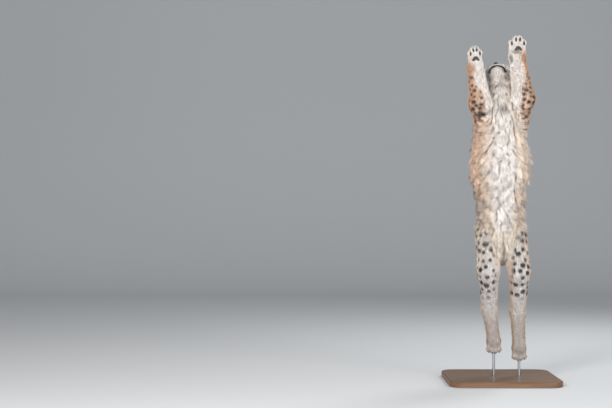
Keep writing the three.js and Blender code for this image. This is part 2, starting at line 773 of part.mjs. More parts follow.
// Stand: a plinth with round corners
const plan = new THREE.Shape();
const [w, d, c] = [BASE.width / 2 - BASE.bevel, BASE.depth / 2 - BASE.bevel, BASE.corner];
plan.moveTo(-w + c, -d);
plan.lineTo(w - c, -d);
plan.absarc(w - c, -d + c, c, -Math.PI / 2, 0);
plan.lineTo(w, d - c);
plan.absarc(w - c, d - c, c, 0, Math.PI / 2);
plan.lineTo(-w + c, d);
plan.absarc(-w + c, d - c, c, Math.PI / 2, Math.PI);
plan.lineTo(-w, -d + c);
plan.absarc(-w + c, -d + c, c, Math.PI, Math.PI * 1.5);
const plinth = new THREE.ExtrudeGeometry(plan, {
  depth: BASE.thick - BASE.bevel,
  bevelEnabled: true,
  bevelThickness: BASE.bevel,
  bevelSize: BASE.bevel,
  bevelSegments: 1,
  curveSegments: 6,
});
const lowerHalf = half(point(0, 0, -GAP / 2), point(0, 0, 1), 1);
add('stand_base', solidOf(plinth).intersect(lowerHalf), wood);

export default group;
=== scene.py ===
"""Eurasian lynx at full stretch in an upward leap: skin, coat, face, paws and stand.

Metres in Blender. The shapes of the body are worked out in millimetres, in the frame's own axes:
+X is the animal's left, +Y its back and +Z up, so the belly faces -Y and the camera.
"""
import bmesh
import bpy
import json
import math
import numpy as np
from mathutils import Euler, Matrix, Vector, kdtree

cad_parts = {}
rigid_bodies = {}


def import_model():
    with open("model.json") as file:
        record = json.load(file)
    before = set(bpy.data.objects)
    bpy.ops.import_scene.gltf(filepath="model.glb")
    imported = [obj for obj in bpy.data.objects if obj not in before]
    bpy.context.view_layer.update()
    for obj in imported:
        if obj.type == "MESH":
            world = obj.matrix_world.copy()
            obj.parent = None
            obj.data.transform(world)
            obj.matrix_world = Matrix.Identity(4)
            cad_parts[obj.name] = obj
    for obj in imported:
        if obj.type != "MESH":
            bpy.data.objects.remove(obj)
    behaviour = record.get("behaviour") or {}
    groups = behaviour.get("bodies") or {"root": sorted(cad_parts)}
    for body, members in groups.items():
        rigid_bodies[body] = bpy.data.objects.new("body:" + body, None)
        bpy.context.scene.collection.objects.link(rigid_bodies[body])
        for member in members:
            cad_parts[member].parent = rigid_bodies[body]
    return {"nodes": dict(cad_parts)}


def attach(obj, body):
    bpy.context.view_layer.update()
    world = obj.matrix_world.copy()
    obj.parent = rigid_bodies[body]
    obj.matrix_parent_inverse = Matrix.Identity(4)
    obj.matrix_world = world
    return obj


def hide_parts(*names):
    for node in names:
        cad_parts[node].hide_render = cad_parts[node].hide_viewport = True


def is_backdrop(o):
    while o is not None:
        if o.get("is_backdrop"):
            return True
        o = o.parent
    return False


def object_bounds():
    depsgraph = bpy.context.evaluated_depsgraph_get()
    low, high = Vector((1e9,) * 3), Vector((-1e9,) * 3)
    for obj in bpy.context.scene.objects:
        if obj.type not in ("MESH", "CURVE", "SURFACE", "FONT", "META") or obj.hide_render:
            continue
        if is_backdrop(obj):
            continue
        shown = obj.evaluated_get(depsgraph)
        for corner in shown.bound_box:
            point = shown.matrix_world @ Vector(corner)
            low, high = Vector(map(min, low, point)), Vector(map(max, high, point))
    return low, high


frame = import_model()
START_BOUNDS = [list(map(float, corner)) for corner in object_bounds()]
MM = 0.001


def vec(x, y, z):
    return np.array([x, y, z], dtype=float)


# Joints of the stretched skeleton, as in the solids
SPINE = {
    "rump": vec(8, 24, 735),
    "waist": vec(3, 20, 885),
    "chest": vec(0, 2, 1165),
    "withers": vec(0, 8, 1365),
    "nape": vec(-10, 16, 1570),
}
SKULL = vec(-14, 24, 1640)
HEAD_LEAN = -4
TAIL = [vec(8, 92, 800), vec(8, 150, 712), vec(8, 176, 628)]
SIDES = {
    "left": dict(
        sign=1, shoulder=vec(84, -18, 1388), elbow=vec(106, -98, 1530), wrist=vec(76, -92, 1752),
        hip=vec(80, 30, 795), knee=vec(97, -34, 600), hock=vec(100, 44, 375), ball=vec(101, 6, 190),
        toes=110, fore_tip=1866, fore_lean=0, fore_wide=1.08),
    "right": dict(
        sign=-1, shoulder=vec(-82, -18, 1388), elbow=vec(-120, -98, 1500), wrist=vec(-148, -92, 1698),
        hip=vec(-66, 30, 795), knee=vec(-70, -32, 600), hock=vec(-54, 46, 385), ball=vec(-36, 12, 228),
        toes=148, fore_tip=1811, fore_lean=-4, fore_wide=0.82),
}


# Fields: functions of an array of points that give the distance to a surface, negative inside
def oval_distance(u, v, w, a, b, c):
    near = np.sqrt((u / a) ** 2 + (v / b) ** 2 + (w / c) ** 2)
    steep = np.sqrt((u / a**2) ** 2 + (v / b**2) ** 2 + (w / c**2) ** 2)
    return np.where(steep < 1e-9, -min(np.min(a), np.min(b), np.min(c)),
                    near * (near - 1) / np.maximum(steep, 1e-9))


def ball(c, a, b=None, d=None):
    b = a if b is None else b
    d = a if d is None else d
    return lambda p: oval_distance(p[:, 0] - c[0], p[:, 1] - c[1], p[:, 2] - c[2], a, b, d)


def unit(v):
    return v / np.maximum(np.linalg.norm(v, axis=-1, keepdims=True), 1e-12)


def limb(a, b, size_a, size_b):
    """An oval limb from a to b. Each size is (half width, half depth)."""
    length = np.linalg.norm(b - a)
    axis = (b - a) / length
    deep = unit(vec(0, 1, 0) - axis * axis[1])
    wide = np.cross(deep, axis)

    def field(p):
        q = p - a
        along = q @ axis
        t = np.clip(along / length, 0, 1)
        w = size_a[0] + (size_b[0] - size_a[0]) * t
        d = size_a[1] + (size_b[1] - size_a[1]) * t
        return oval_distance(q @ wide, q @ deep, along - t * length, w, d, (w + d) / 2)

    return field


def smooth_min(blend, distances):
    best = distances[0]
    for d in distances[1:]:
        h = np.maximum(blend - np.abs(best - d), 0) / blend
        best = np.minimum(best, d) - h * h * blend / 4
    return best


def joined(blend, shapes):
    return lambda p: smooth_min(blend, [shape(p) for shape in shapes])


def turn(degrees):
    c = math.cos(math.radians(degrees))
    s = math.sin(math.radians(degrees))
    return np.array([[c, 0, -s], [0, 1, 0], [s, 0, c]])


def leant(shape, place, degrees):
    rows = turn(degrees)
    return lambda p: shape((p - place) @ rows.T)


def foreleg(side):
    shoulder, elbow, wrist, sign = (side[k] for k in ("shoulder", "elbow", "wrist", "sign"))
    upper = [
        limb(vec(sign * 78, 66, 1290), shoulder, (50, 50), (60, 62)),
        limb(shoulder, elbow, (60, 64), (55, 58)),
        ball(elbow + vec(sign * 12, -14, -10), 40, 38, 44),
    ]
    return upper, [limb(elbow, wrist, (60, 56), (46, 39))]


def hindleg(side):
    hip, knee, hock, foot, sign = (side[k] for k in ("hip", "knee", "hock", "ball", "sign"))
    thigh = [
        limb(hip, knee, (70, 92), (60, 62)),
        limb(hip + vec(sign * -4, 52, -70), knee, (58, 56), (44, 40)),
    ]
    shank = [limb(knee, hock, (57, 60), (44, 40))]
    lower = [
        limb(hock, hock + vec(0, 30, 22), (30, 28), (24, 22)),
        limb(hock, foot, (42, 38), (38, 30)),
    ]
    return thigh, shank, lower


def fore_toe(place, length, wide):
    """The tip of a front toe in its paw's frame. place is -1.5, -0.5, 0.5 or 1.5."""
    return vec(place * 20 * wide, -9, length - 8 - abs(place) * 20)


def forepaw(length, wide):
    def toe(place):
        tip = fore_toe(place, length, wide)
        root = vec(tip[0] * 0.72, 0, length * 0.34)
        return joined(8, [limb(root, tip, (16, 18), (15.5, 17)), ball(tip, 16.5, 18, 16)])

    palm = joined(14, [
        ball(vec(0, 0, length * 0.36), 43 * wide, 26, 42),
        ball(vec(0, -14, length * 0.3), 23, 17, 17),
        ball(vec(-30, -8, 2), 15, 15, 19),
    ])
    return joined(12, [palm] + [toe(n) for n in (-1.5, -0.5, 0.5, 1.5)])


def hindpaw(length):
    def toe(place):
        spread = place * 19
        tip = vec(spread, -10, -length + 15 + abs(place) * 6)
        root = vec(spread * 0.75, 0, -length * 0.2)
        return joined(8, [limb(root, tip, (14, 17), (13.5, 16)), ball(tip, 14.5, 17, 15)])

    sole = joined(12, [
        ball(vec(0, 2, -length * 0.24), 37, 26, 34),
        ball(vec(0, 17, -length * 0.36), 21, 15, 16),
    ])
    return joined(7, [sole] + [toe(n) for n in (-1.5, -0.5, 0.5, 1.5)])


# The head in its own frame: nose to +Z, crown to +Y, its origin in the middle of the skull
NOSE = vec(0, 3, 88)
EYE = vec(29, 27, 37)
EAR = vec(42, 42, -34)
WHISKER_PAD = vec(27, -8, 62)


def head_shape():
    def both(make):
        return [make(1), make(-1)]

    face = joined(16, [
        ball(vec(0, 20, -14), 60, 52, 66),
        limb(vec(0, 40, 18), vec(0, 14, 74), (25, 20), (15, 13)),
        limb(vec(0, -10, 20), vec(0, -6, 66), (42, 30), (26, 22)),
        limb(vec(0, -30, -28), vec(0, -32, 24), (46, 26), (42, 24)),
        *both(lambda s: ball(vec(s * 50, 2, 16), 35, 33, 42)),
        *both(lambda s: ball(vec(s * 50, -16, -34), 36, 40, 44)),
        *both(lambda s: limb(vec(s * 12, 48, 30), vec(s * 40, 42, 22), (12, 11), (11, 10))),
    ])
    return joined(5, [
        face,
        *both(lambda s: ball(WHISKER_PAD * vec(s, 1, 1), 27, 20, 24)),
        ball(vec(0, -34, 26), 41, 23, 42),
        ball(NOSE, 13, 9, 9),
    ])


def bezier(a, b, c, steps):
    t = np.linspace(0, 1, steps)[:, None]
    return a * (1 - t) ** 2 + b * 2 * t * (1 - t) + c * t * t


HEAD_ROWS = turn(HEAD_LEAN)


def to_head(p):
    return (np.asarray(p) - SKULL) @ HEAD_ROWS.T


def from_head(p):
    return np.asarray(p) @ HEAD_ROWS + SKULL


def part(shapes, depth, start, end, down=None):
    """A part of the body. depth is its coat's depth. Its hair lies from start to end, or else down."""
    down = unit(end - start) if down is None else down
    return dict(shapes=shapes, depth=depth, axis=(start, end), down=down)


def build_parts():
    rump, waist, chest, withers, nape = SPINE.values()
    below = vec(0, 0, -1)
    parts = {
        "belly": part([limb(rump, waist, (112, 104), (117, 112))], 26, rump, waist, below),
        "chest": part([limb(waist, chest, (116, 112), (158, 150)),
                       limb(chest, withers, (158, 150), (140, 128))], 34, waist, withers, below),
        "neck": part([limb(withers, nape, (98, 108), (74, 80)),
                      limb(vec(-4, -52, 1430), vec(-8, -22, 1560), (98, 78), (64, 58))],
                     28, withers, nape, below),
        "head": part([leant(head_shape(), SKULL, HEAD_LEAN)], 9, nape, from_head(NOSE), vec(0.07, 0, -1)),
        "tail": part([joined(20, [limb(TAIL[0], TAIL[1], (34, 34), (31, 31)),
                                  limb(TAIL[1], TAIL[2], (31, 31), (26, 26))])], 14, TAIL[0], TAIL[2]),
    }
    for name, side in SIDES.items():
        shoulder, elbow, wrist = side["shoulder"], side["elbow"], side["wrist"]
        hip, knee, hock, foot = side["hip"], side["knee"], side["hock"], side["ball"]
        upper, fore = foreleg(side)
        thigh, shank, lower = hindleg(side)
        front_paw = leant(forepaw(side["fore_tip"] - wrist[2], side["fore_wide"]), wrist, side["fore_lean"])
        hind_paw = leant(hindpaw(foot[2] - side["toes"]), foot, 0)
        parts.update({
            "upper_arm_" + name: part(upper, 13, shoulder, elbow),
            "forearm_" + name: part(fore, 9, elbow, wrist),
            "forepaw_" + name: part([front_paw], 5, wrist, wrist + vec(0, 0, 110)),
            "thigh_" + name: part(thigh, 12, hip, knee),
            "shank_" + name: part(shank, 9, knee, hock),
            "lower_" + name: part(lower, 7, hock, foot),
            "hindpaw_" + name: part([hind_paw], 5, foot, foot - vec(0, 0, 80), vec(0, -0.1, -1)),
        })
    return parts


PARTS = build_parts()
PART_NAMES = list(PARTS)
FLESH = ["belly", "chest", "neck", "upper_arm_left", "forearm_left", "upper_arm_right", "forearm_right"]
HEAD_INDEX = PART_NAMES.index("head")


def part_distances(p):
    return {name: [shape(p) for shape in part["shapes"]] for name, part in PARTS.items()}


def whole(d):
    flesh = smooth_min(34, [x for name in FLESH for x in d[name]])
    haunch = [smooth_min(26, d["thigh_" + s] + d["shank_" + s] + d["lower_" + s]) for s in SIDES]
    paws = [d[n + s][0] for n in ("forepaw_", "hindpaw_") for s in SIDES]
    return smooth_min(26, [flesh, smooth_min(9, haunch), d["tail"][0], d["head"][0]] + paws)


def part_weights(d, soft=14.0):
    nearest = np.stack([np.minimum.reduce(d[name]) for name in PART_NAMES], axis=1)
    nearest = nearest - nearest.min(axis=1, keepdims=True)
    weights = np.exp(-np.minimum(nearest / soft, 30))
    return weights / weights.sum(axis=1, keepdims=True)


def ramp(x, low, high):
    t = np.clip((x - low) / (high - low), 0, 1)
    return t * t * (3 - 2 * t)


def head_depth(p):
    """Short on the nose and lips, longer on the cheeks and chin, full on the ruff."""
    q = to_head(p)
    front = ramp(q[:, 2], 20, 62)
    under = ramp(-q[:, 1], 22, 36)
    depth = 15 - 6 * ramp(q[:, 2], -50, 0)
    depth = depth * (1 - front) + 2.2 * front
    return depth + 3.5 * under * ramp(q[:, 2], -30, 30) * (1 - ramp(q[:, 2], 60, 74))


def coat_depth(p, weights):
    depths = np.array([PARTS[name]["depth"] for name in PART_NAMES], dtype=float)
    depth = weights @ depths
    return depth + weights[:, HEAD_INDEX] * (head_depth(p) - PARTS["head"]["depth"])


def skin_field(p):
    d = part_distances(p)
    weights = part_weights(d)
    return whole(d) + coat_depth(p, weights)


def gradient(field, p, h=1.0):
    steps = np.eye(3) * h
    return unit(np.stack([field(p + s) - field(p - s) for s in steps], axis=1))


def in_chunks(work, p, size=150000):
    return np.concatenate([work(p[i:i + size]) for i in range(0, len(p), size)])


# Surface nets: one vertex in each grid cell that the surface crosses
def surface_nets(field, low, high, cell):
    counts = np.ceil((high - low) / cell).astype(int) + 1
    axes = [low[i] + cell * np.arange(counts[i]) for i in range(3)]
    grid = np.stack(np.meshgrid(*axes, indexing="ij"), axis=-1).reshape(-1, 3)
    value = in_chunks(field, grid).reshape(counts)
    inside = value < 0
    nx, ny, nz = counts - 1
    cell_shape = (nx, ny, nz)
    total = np.zeros(cell_shape + (3,))
    crossings = np.zeros(cell_shape)
    corner = lambda array, o: array[o[0]:o[0] + nx, o[1]:o[1] + ny, o[2]:o[2] + nz]
    for axis in range(3):
        for a in (0, 1):
            for b in (0, 1):
                first = [a, b]
                first.insert(axis, 0)
                last = list(first)
                last[axis] = 1
                v0 = corner(value, first)
                v1 = corner(value, last)
                cut = corner(inside, first) != corner(inside, last)
                t = np.where(cut, v0 / np.where(cut, v0 - v1, 1), 0)
                at = np.array(first, dtype=float)
                offset = np.broadcast_to(at, cell_shape + (3,)).copy()
                offset[..., axis] += t
                total += offset * cut[..., None]
                crossings += cut
    used = crossings > 0
    ids = -np.ones(cell_shape, dtype=int)
    ids[used] = np.arange(used.sum())
    where = np.argwhere(used)
    vertices = (where + total[used] / crossings[used][:, None]) * cell + low
    quads = []
    for axis in range(3):
        p, q = (axis + 1) % 3, (axis + 2) % 3
        step = np.eye(3, dtype=int)
        a = inside[tuple(slice(0, counts[i] - (i == axis)) for i in range(3))]
        b = inside[tuple(slice(int(i == axis), counts[i]) for i in range(3))]
        for out, edges in ((False, np.argwhere(a & ~b)), (True, np.argwhere(~a & b))):
            edges = edges[(edges[:, p] > 0) & (edges[:, q] > 0)]
            edges = edges[(edges[:, p] < counts[p] - 1) & (edges[:, q] < counts[q] - 1)]
            ring = [edges - m * step[p] - n * step[q] for m, n in ((0, 0), (1, 0), (1, 1), (0, 1))]
            ring = [ids[tuple(r.T)] for r in ring]
            if out:
                ring = ring[::-1]
            quads.append(np.stack(ring, axis=1))
    return vertices, np.concatenate(quads)


def project(field, p, rounds=3, limit=3.0):
    for _ in range(rounds):
        d = in_chunks(field, p)
        n = in_chunks(lambda q: gradient(field, q), p)
        p = p - n * np.clip(d, -limit, limit)[:, None]
    return p


# Meshes and materials
def srgb(code):
    def linear(c):
        return c / 12.92 if c <= 0.04045 else ((c + 0.055) / 1.055) ** 2.4
    return np.array([linear(int(code[i:i + 2], 16) / 255) for i in (1, 3, 5)])


def new_mesh(name, vertices, faces, smooth=True):
    """A mesh object at the origin. The vertices are in millimetres, the faces one array of n-gons."""
    mesh = bpy.data.meshes.new(name)
    faces = np.asarray(faces, dtype=np.int32)
    sides = faces.shape[1]
    mesh.vertices.add(len(vertices))
    mesh.vertices.foreach_set("co", (np.asarray(vertices) * MM).astype(np.float32).ravel())
    mesh.loops.add(faces.size)
    mesh.loops.foreach_set("vertex_index", faces.ravel())
    mesh.polygons.add(len(faces))
    mesh.polygons.foreach_set("loop_start", np.arange(0, faces.size, sides, dtype=np.int32))
    mesh.update(calc_edges=True)
    mesh.polygons.foreach_set("use_smooth", np.full(len(faces), smooth))
    mesh.validate()
    obj = bpy.data.objects.new(name, mesh)
    bpy.context.scene.collection.objects.link(obj)
    return obj


def set_colours(mesh, name, colours):
    layer = mesh.color_attributes.new(name, "FLOAT_COLOR", "POINT")
    rgba = np.ones((len(colours), 4), dtype=np.float32)
    rgba[:, :3] = colours
    layer.data.foreach_set("color", rgba.ravel())


def new_material(name):
    material = bpy.data.materials.new(name)
    material.use_nodes = True
    return material, material.node_tree.nodes["Principled BSDF"]


def add(material, kind, inputs=None, **settings):
    """Adds a shader node. An input is a constant, or a socket that is linked to it."""
    node = material.node_tree.nodes.new(kind)
    for key, value in settings.items():
        setattr(node, key, value)
    for key, value in (inputs or {}).items():
        if isinstance(value, bpy.types.NodeSocket):
            material.node_tree.links.new(value, node.inputs[key])
        else:
            node.inputs[key].default_value = value
    return node


def link(material, socket, target):
    material.node_tree.links.new(socket, target)


def plain_material(name, code, roughness, **more):
    material, shader = new_material(name)
    shader.inputs["Base Color"].default_value = (*srgb(code), 1)
    shader.inputs["Roughness"].default_value = roughness
    for key, value in more.items():
        shader.inputs[key.replace("_", " ")].default_value = value
    return material


def coat_material(name, roughness, sheen, grain, bump):
    """Dull hair, coloured by the Coat attribute. A grain of 1 / grain metres makes it lighter and darker."""
    material, shader = new_material(name)
    colour = add(material, "ShaderNodeAttribute", attribute_name="Coat")
    place = add(material, "ShaderNodeTexCoord")
    noise = add(material, "ShaderNodeTexNoise",
                {"Vector": place.outputs["Object"], "Scale": grain, "Detail": 3.0, "Roughness": 0.7})
    tone = add(material, "ShaderNodeMapRange",
               {"Value": noise.outputs["Fac"], "From Min": 0.3, "From Max": 0.7,
                "To Min": 0.86, "To Max": 1.1})
    shade = add(material, "ShaderNodeVectorMath",
                {0: colour.outputs["Color"], "Scale": tone.outputs["Result"]}, operation="SCALE")
    link(material, shade.outputs["Vector"], shader.inputs["Base Color"])
    shader.inputs["Roughness"].default_value = roughness
    shader.inputs["Sheen Weight"].default_value = sheen
    shader.inputs["Specular IOR Level"].default_value = 0.12
    if bump:
        height = add(material, "ShaderNodeBump",
                     {"Strength": bump, "Distance": 0.002, "Height": noise.outputs["Fac"]})
        link(material, height.outputs["Normal"], shader.inputs["Normal"])
    return material


# Markings
WHITE = srgb("#eee9e3")
CREAM = srgb("#e6d8c8")
PEACH = srgb("#e0c0a6")
TAN = srgb("#cd9f78")
RUST = srgb("#b58157")
BACK = srgb("#9a7f66")
GREY = srgb("#a49585")
LEG = srgb("#e4dfda")
FOOT = srgb("#bdb4ac")
DARK = srgb("#2a201c")
SMOKE = srgb("#6b5d52")
LOW_FLANK = srgb("#cdbba9")
FOOT_EDGE = srgb("#b39c86")
GROIN = srgb("#e8ddcc")
SEAM = srgb("#8f6e52")
LEATHER = srgb("#4a3530")
# Spots in millimetres: how far apart they are placed, their radius, and their stretch along x, y and z
SPOTS = {
    "body": dict(apart=44, placed=vec(1, 1, 1.35), radius=12.5, stretch=vec(1, 1, 1.35), seed=21),
    "legs": dict(apart=31, placed=vec(1, 1, 1), radius=13.5, stretch=vec(1, 1, 1), seed=22),
    "arms": dict(apart=24, placed=vec(1, 1, 0.9), radius=11.0, stretch=vec(1.2, 1.2, 0.85), seed=23),
}


def mixed(a, b, t):
    t = np.asarray(t)[:, None]
    return a * (1 - t) + b * t


def spot_centres(rng, vertices, wanted, spacing, stretch):
    """Places for spots, in a random order and kept apart, the more so the larger the stretch on an axis."""
    candidates = vertices[wanted]
    candidates = candidates[rng.permutation(len(candidates))]
    kept = []
    scaled = candidates / stretch
    for n, p in enumerate(scaled):
        if all(np.sum((p - scaled[m]) ** 2) > spacing**2 for m in kept):
            kept.append(n)
    return candidates[kept]


def spot_strength(rng, p, centres, radius, stretch):
    """How far each point is inside the nearest spot, from 0 to 1."""
    tree = kdtree.KDTree(len(centres))
    for n, c in enumerate(centres / stretch):
        tree.insert(Vector(c), n)
    tree.balance()
    sizes = radius * rng.uniform(0.7, 1.25, len(centres))
    found = [tree.find(Vector(q)) for q in p / stretch]
    near = np.array([f[2] for f in found])
    size = sizes[[f[1] for f in found]]
    return 1 - ramp(near, size * 0.72, size * 1.12)


class Markings:
    """The lynx's colours and spots, for the skin and its coat alike. The ears have their own."""

    def __init__(self, vertices, weights):
        rng = np.random.default_rng(11)
        names = {n: weights[:, i] for i, n in enumerate(PART_NAMES)}
        trunk = names["belly"] + names["chest"] + names["neck"]
        legs = sum(names[n + s] for n in ("thigh_", "shank_") for s in SIDES)
        arms = sum(names[n + s] for n in ("upper_arm_", "forearm_") for s in SIDES)
        wanted = {
            "body": (trunk > 0.5) & (self.round_trunk(vertices) > 1.35),
            "legs": (legs > 0.5) & (vertices[:, 2] > 415),
            "arms": arms > 0.5,
        }
        self.centres = {kind: spot_centres(rng, vertices, wanted[kind], spot["apart"], spot["placed"])
                        for kind, spot in SPOTS.items()}

    def spots(self, kind, p):
        spot = SPOTS[kind]
        rng = np.random.default_rng(spot["seed"])
        return spot_strength(rng, p, self.centres[kind], spot["radius"], spot["stretch"])

    @staticmethod
    def round_trunk(p):
        """The angle round the trunk, in radians from the middle of the belly."""
        middle = np.interp(p[:, 2], [735, 885, 1165, 1365, 1570], [8, 3, 0, 0, -10])
        return np.abs(np.arctan2(p[:, 0] - middle, 10 - p[:, 1]))

    def colours(self, p, n, weights):
        w = {name: weights[:, i] for i, name in enumerate(PART_NAMES)}
        x, z = p[:, 0], p[:, 2]
        angle = self.round_trunk(p)
        colour = np.zeros((len(p), 3))

        # Trunk and neck: white in front, peach on the flanks, greyish tan on the back
        trunk = mixed(WHITE, CREAM, ramp(angle, 0.3, 0.75))
        flank = mixed(PEACH, CREAM, 0.5 * ramp(x, 0, 60))
        flank = mixed(flank, LOW_FLANK, ramp(-z, -1080, -920))
        trunk = mixed(trunk, flank, ramp(angle, 0.65, 1.15))
        trunk = mixed(trunk, BACK, ramp(angle, 1.6, 2.4))
        colour += trunk * (w["belly"] + w["chest"] + w["neck"])[:, None]

        # Tail: a black tip
        tail = mixed(BACK, GREY, ramp(-n[:, 1], -0.2, 0.8))
        tail = mixed(tail, DARK, ramp(-z, -675, -660))
        colour += tail * w["tail"][:, None]

        arm_outer = np.zeros(len(p))
        for name, side in SIDES.items():
            sign = side["sign"]
            # Forelegs: tan outside, white inside and towards the paw's palm
            near_elbow = 1 - ramp(np.abs(z - side["elbow"][2] + 30), 60, 150)
            outer = ramp(sign * n[:, 0] + 0.3 * n[:, 1] + 0.75 * near_elbow, -0.1, 0.45)
            arm_outer = np.maximum(arm_outer, outer * (x * sign > 0))
            arm = mixed(WHITE, PEACH, outer)
            arm = mixed(arm, TAN, ramp(sign * n[:, 0], 0.3, 0.9))
            arm = mixed(arm, RUST, ramp(n[:, 1], 0.2, 0.9))
            wrist = (1 - ramp(np.abs(z - side["wrist"][2] + 8), 12, 34)) * ramp(sign * n[:, 0], -0.1, 0.4)
            arm = mixed(arm, RUST, 0.7 * wrist)
            colour += arm * (w["upper_arm_" + name] + w["forearm_" + name])[:, None]
            paw = mixed(WHITE, TAN, ramp(n[:, 1] + 0.6 * sign * n[:, 0], 0.3, 1.0))
            paw = mixed(paw, RUST, 0.7 * wrist)
            colour += paw * w["forepaw_" + name][:, None]
            # Hind legs: grey white in front, peach or cream at the edges and brown behind
            edge = ramp(np.abs(n[:, 0]), 0.5, 0.95)
            leg = mixed(LEG, PEACH if sign > 0 else CREAM, 0.8 * edge)
            leg = mixed(leg, BACK, ramp(n[:, 1], 0.0, 0.7))
            colour += leg * (w["thigh_" + name] + w["shank_" + name])[:, None]
            foot = mixed(FOOT, FOOT_EDGE, edge)
            foot = mixed(foot, SMOKE, ramp(n[:, 1], 0.2, 0.9))
            colour += foot * (w["lower_" + name] + w["hindpaw_" + name])[:, None]
        colour += self.head_colours(p, n) * w["head"][:, None]
        # The groin is cream, with a browner line down its middle
        between_legs = 1 - ramp(np.abs(x - 8), 36, 66)
        groin = (1 - ramp(z, 790, 850)) * ramp(z, 610, 650) * between_legs * ramp(-n[:, 1], 0, 0.4)
        colour = mixed(colour, GROIN, 0.7 * groin)
        seam = groin * (1 - ramp(np.abs(x - 8), 3, 13)) * (1 - ramp(z, 735, 775))
        colour = mixed(colour, SEAM, 0.8 * seam)

        # Spots: on the flanks and back, on the hind legs away from the groin, and outside on the arms
        trunk_weight = w["belly"] + w["chest"] + w["neck"]
        spots = self.spots("body", p)
        colour = mixed(colour, DARK, 0.8 * spots * trunk_weight * ramp(angle, 1.25, 1.6))
        leg_weight = sum(w[m + s] for m in ("thigh_", "shank_") for s in SIDES)
        spots = self.spots("legs", p)
        colour = mixed(colour, DARK, spots * ramp(leg_weight, 0.2, 0.6) * ramp(z, 430, 480)
                       * ramp(np.abs(x - 8), 38, 58))
        arm_weight = sum(w[m + s] for m in ("upper_arm_", "forearm_") for s in SIDES)
        spots = self.spots("arms", p)
        colour = mixed(colour, DARK, spots * ramp(arm_weight, 0.2, 0.6) * ramp(arm_outer, 0.35, 0.8)
                       * (1 - ramp(z, 1620, 1680)))
        # Painted shade, greyish brown, in the hollow over the breastbone and in the throat's fold
        front = ramp(-n[:, 1], 0.1, 0.5)
        breastbone_shade = 1 - ramp(np.hypot(x - 5, (z - 1462) * 0.8), 8, 34)
        colour = mixed(colour, SMOKE, 0.65 * breastbone_shade * front)
        throat_fold_shade = (1 - ramp(np.abs(z - 1597), 3, 9)) * (1 - ramp(np.abs(x + 15), 50, 75))
        colour = mixed(colour, SMOKE, 0.35 * throat_fold_shade * front)
        # The left wrist: brown painted shade at its inner edge, brown under the pad, and below them faint
        # rust bands of painted shade
        wrist = SIDES["left"]["wrist"]
        inner = 1 - ramp(np.hypot((x - wrist[0] + 40) / 18, (z - wrist[2] + 16) / 30), 0.5, 1.1)
        under_pad = 1 - ramp(np.hypot((x - wrist[0] + 4) / 30, (z - wrist[2] - 24) / 16), 0.5, 1.1)
        colour = mixed(colour, SMOKE, np.maximum(0.75 * inner, 0.6 * under_pad) * front * (x > 0))
        # The bands are painted shade along the folds of the forearm's fur
        bands = ramp(np.sin((z + 0.25 * x) * 2 * math.pi / 17), 0.3, 1.0)
        bands = bands * (1 - ramp(np.abs(z - 1655), 55, 80))
        return mixed(colour, RUST, 0.3 * bands * ramp(x, 30, 45) * front)

    @staticmethod
    def head_colours(p, n):
        q = to_head(p)
        m = n @ HEAD_ROWS.T
        x, y, z = q.T
        side = np.abs(x)
        crown = ramp(m[:, 1], -0.1, 0.6) * ramp(y, 5, 30)
        colour = mixed(WHITE, BACK, crown)
        # Dark stripes run back over the cheeks and the crown
        cheek = ramp(side, 38, 46) * (1 - ramp(y, 22, 34)) * (1 - ramp(z, 60, 70)) * ramp(z, -40, -10)
        stripe = ramp(np.sin((z + side) * 2 * math.pi / 15), -0.1, 0.2)
        colour = mixed(colour, DARK, 0.85 * cheek * stripe)
        brow = crown * (np.sin(x / 2.6) > 0.6) * ramp(z, -30, 0)
        colour = mixed(colour, DARK, 0.6 * brow)
        to_eye = np.linalg.norm((np.stack([side, y, z], axis=1) - EYE) * vec(1, 1, 0.8), axis=1)
        colour = mixed(colour, DARK, 1 - ramp(to_eye, 13, 18))
        # Black lips, and rows of dark dots on the whisker pads that run beside them
        to_lip = np.min([np.linalg.norm(p - q, axis=1) for q in MOUTH], axis=0)
        above = ramp(y, -24, -18)
        rows = (np.sin((to_lip - 9) * 2 * math.pi / 9) > 0.1) * ramp(np.sin(z * 0.9 + side * 0.5), -0.4, 0.1)
        colour = mixed(colour, DARK, 0.85 * above * rows * ramp(side, 10, 16) * (1 - ramp(to_lip, 34, 40)))
        colour = mixed(colour, DARK, 1 - ramp(to_lip - 2 * above, 3.5, 5.5))
        leather = 1 - ramp(np.linalg.norm(q - (NOSE + vec(0, 0, 4)), axis=1), 11, 14)
        return mixed(colour, LEATHER, leather)


# The line of the mouth, from each corner up round the muzzle
def mouth_line(sign):
    corner, cheek, front = vec(sign * 46, -22, 42), vec(sign * 36, -24, 72), vec(sign * 0, -23, 75)
    line = from_head(bezier(corner, cheek, front, 15))
    return project(lambda p: skin_field(p) - 0.5, line, 6, 20)


MOUTH = np.concatenate([mouth_line(1), mouth_line(-1)])

# The skin: one surface for all of the flesh, finer on the head and paws
CELL = 7.0
BODY_LOW, BODY_HIGH = vec(-205, -190, 95), vec(195, 215, 1880)


def refined(vertices, quads, wanted, cuts=1):
    """Cuts the faces that wanted picks into finer ones."""
    mesh = bmesh.new()
    made = [mesh.verts.new(v) for v in vertices]
    for q in quads:
        try:
            mesh.faces.new([made[i] for i in q])
        except ValueError:
            pass
    mesh.normal_update()
    edges = [e for e in mesh.edges if wanted(np.array(e.verts[0].co)) and wanted(np.array(e.verts[1].co))]
    bmesh.ops.subdivide_edges(mesh, edges=edges, cuts=cuts, use_grid_fill=True)
    bmesh.ops.triangulate(mesh, faces=mesh.faces)
    mesh.verts.index_update()
    points = np.array([v.co[:] for v in mesh.verts])
    triangles = np.array([[v.index for v in f.verts] for f in mesh.faces])
    mesh.free()
    return points, triangles


def fine_place(p):
    q = to_head(p)
    on_head = q[2] > -30 and np.abs(q[0]) < 80
    on_paw = any(p[2] > s["wrist"][2] - 10 and p[0] * s["sign"] > 30 for s in SIDES.values())
    return on_head or on_paw or p[2] < 235


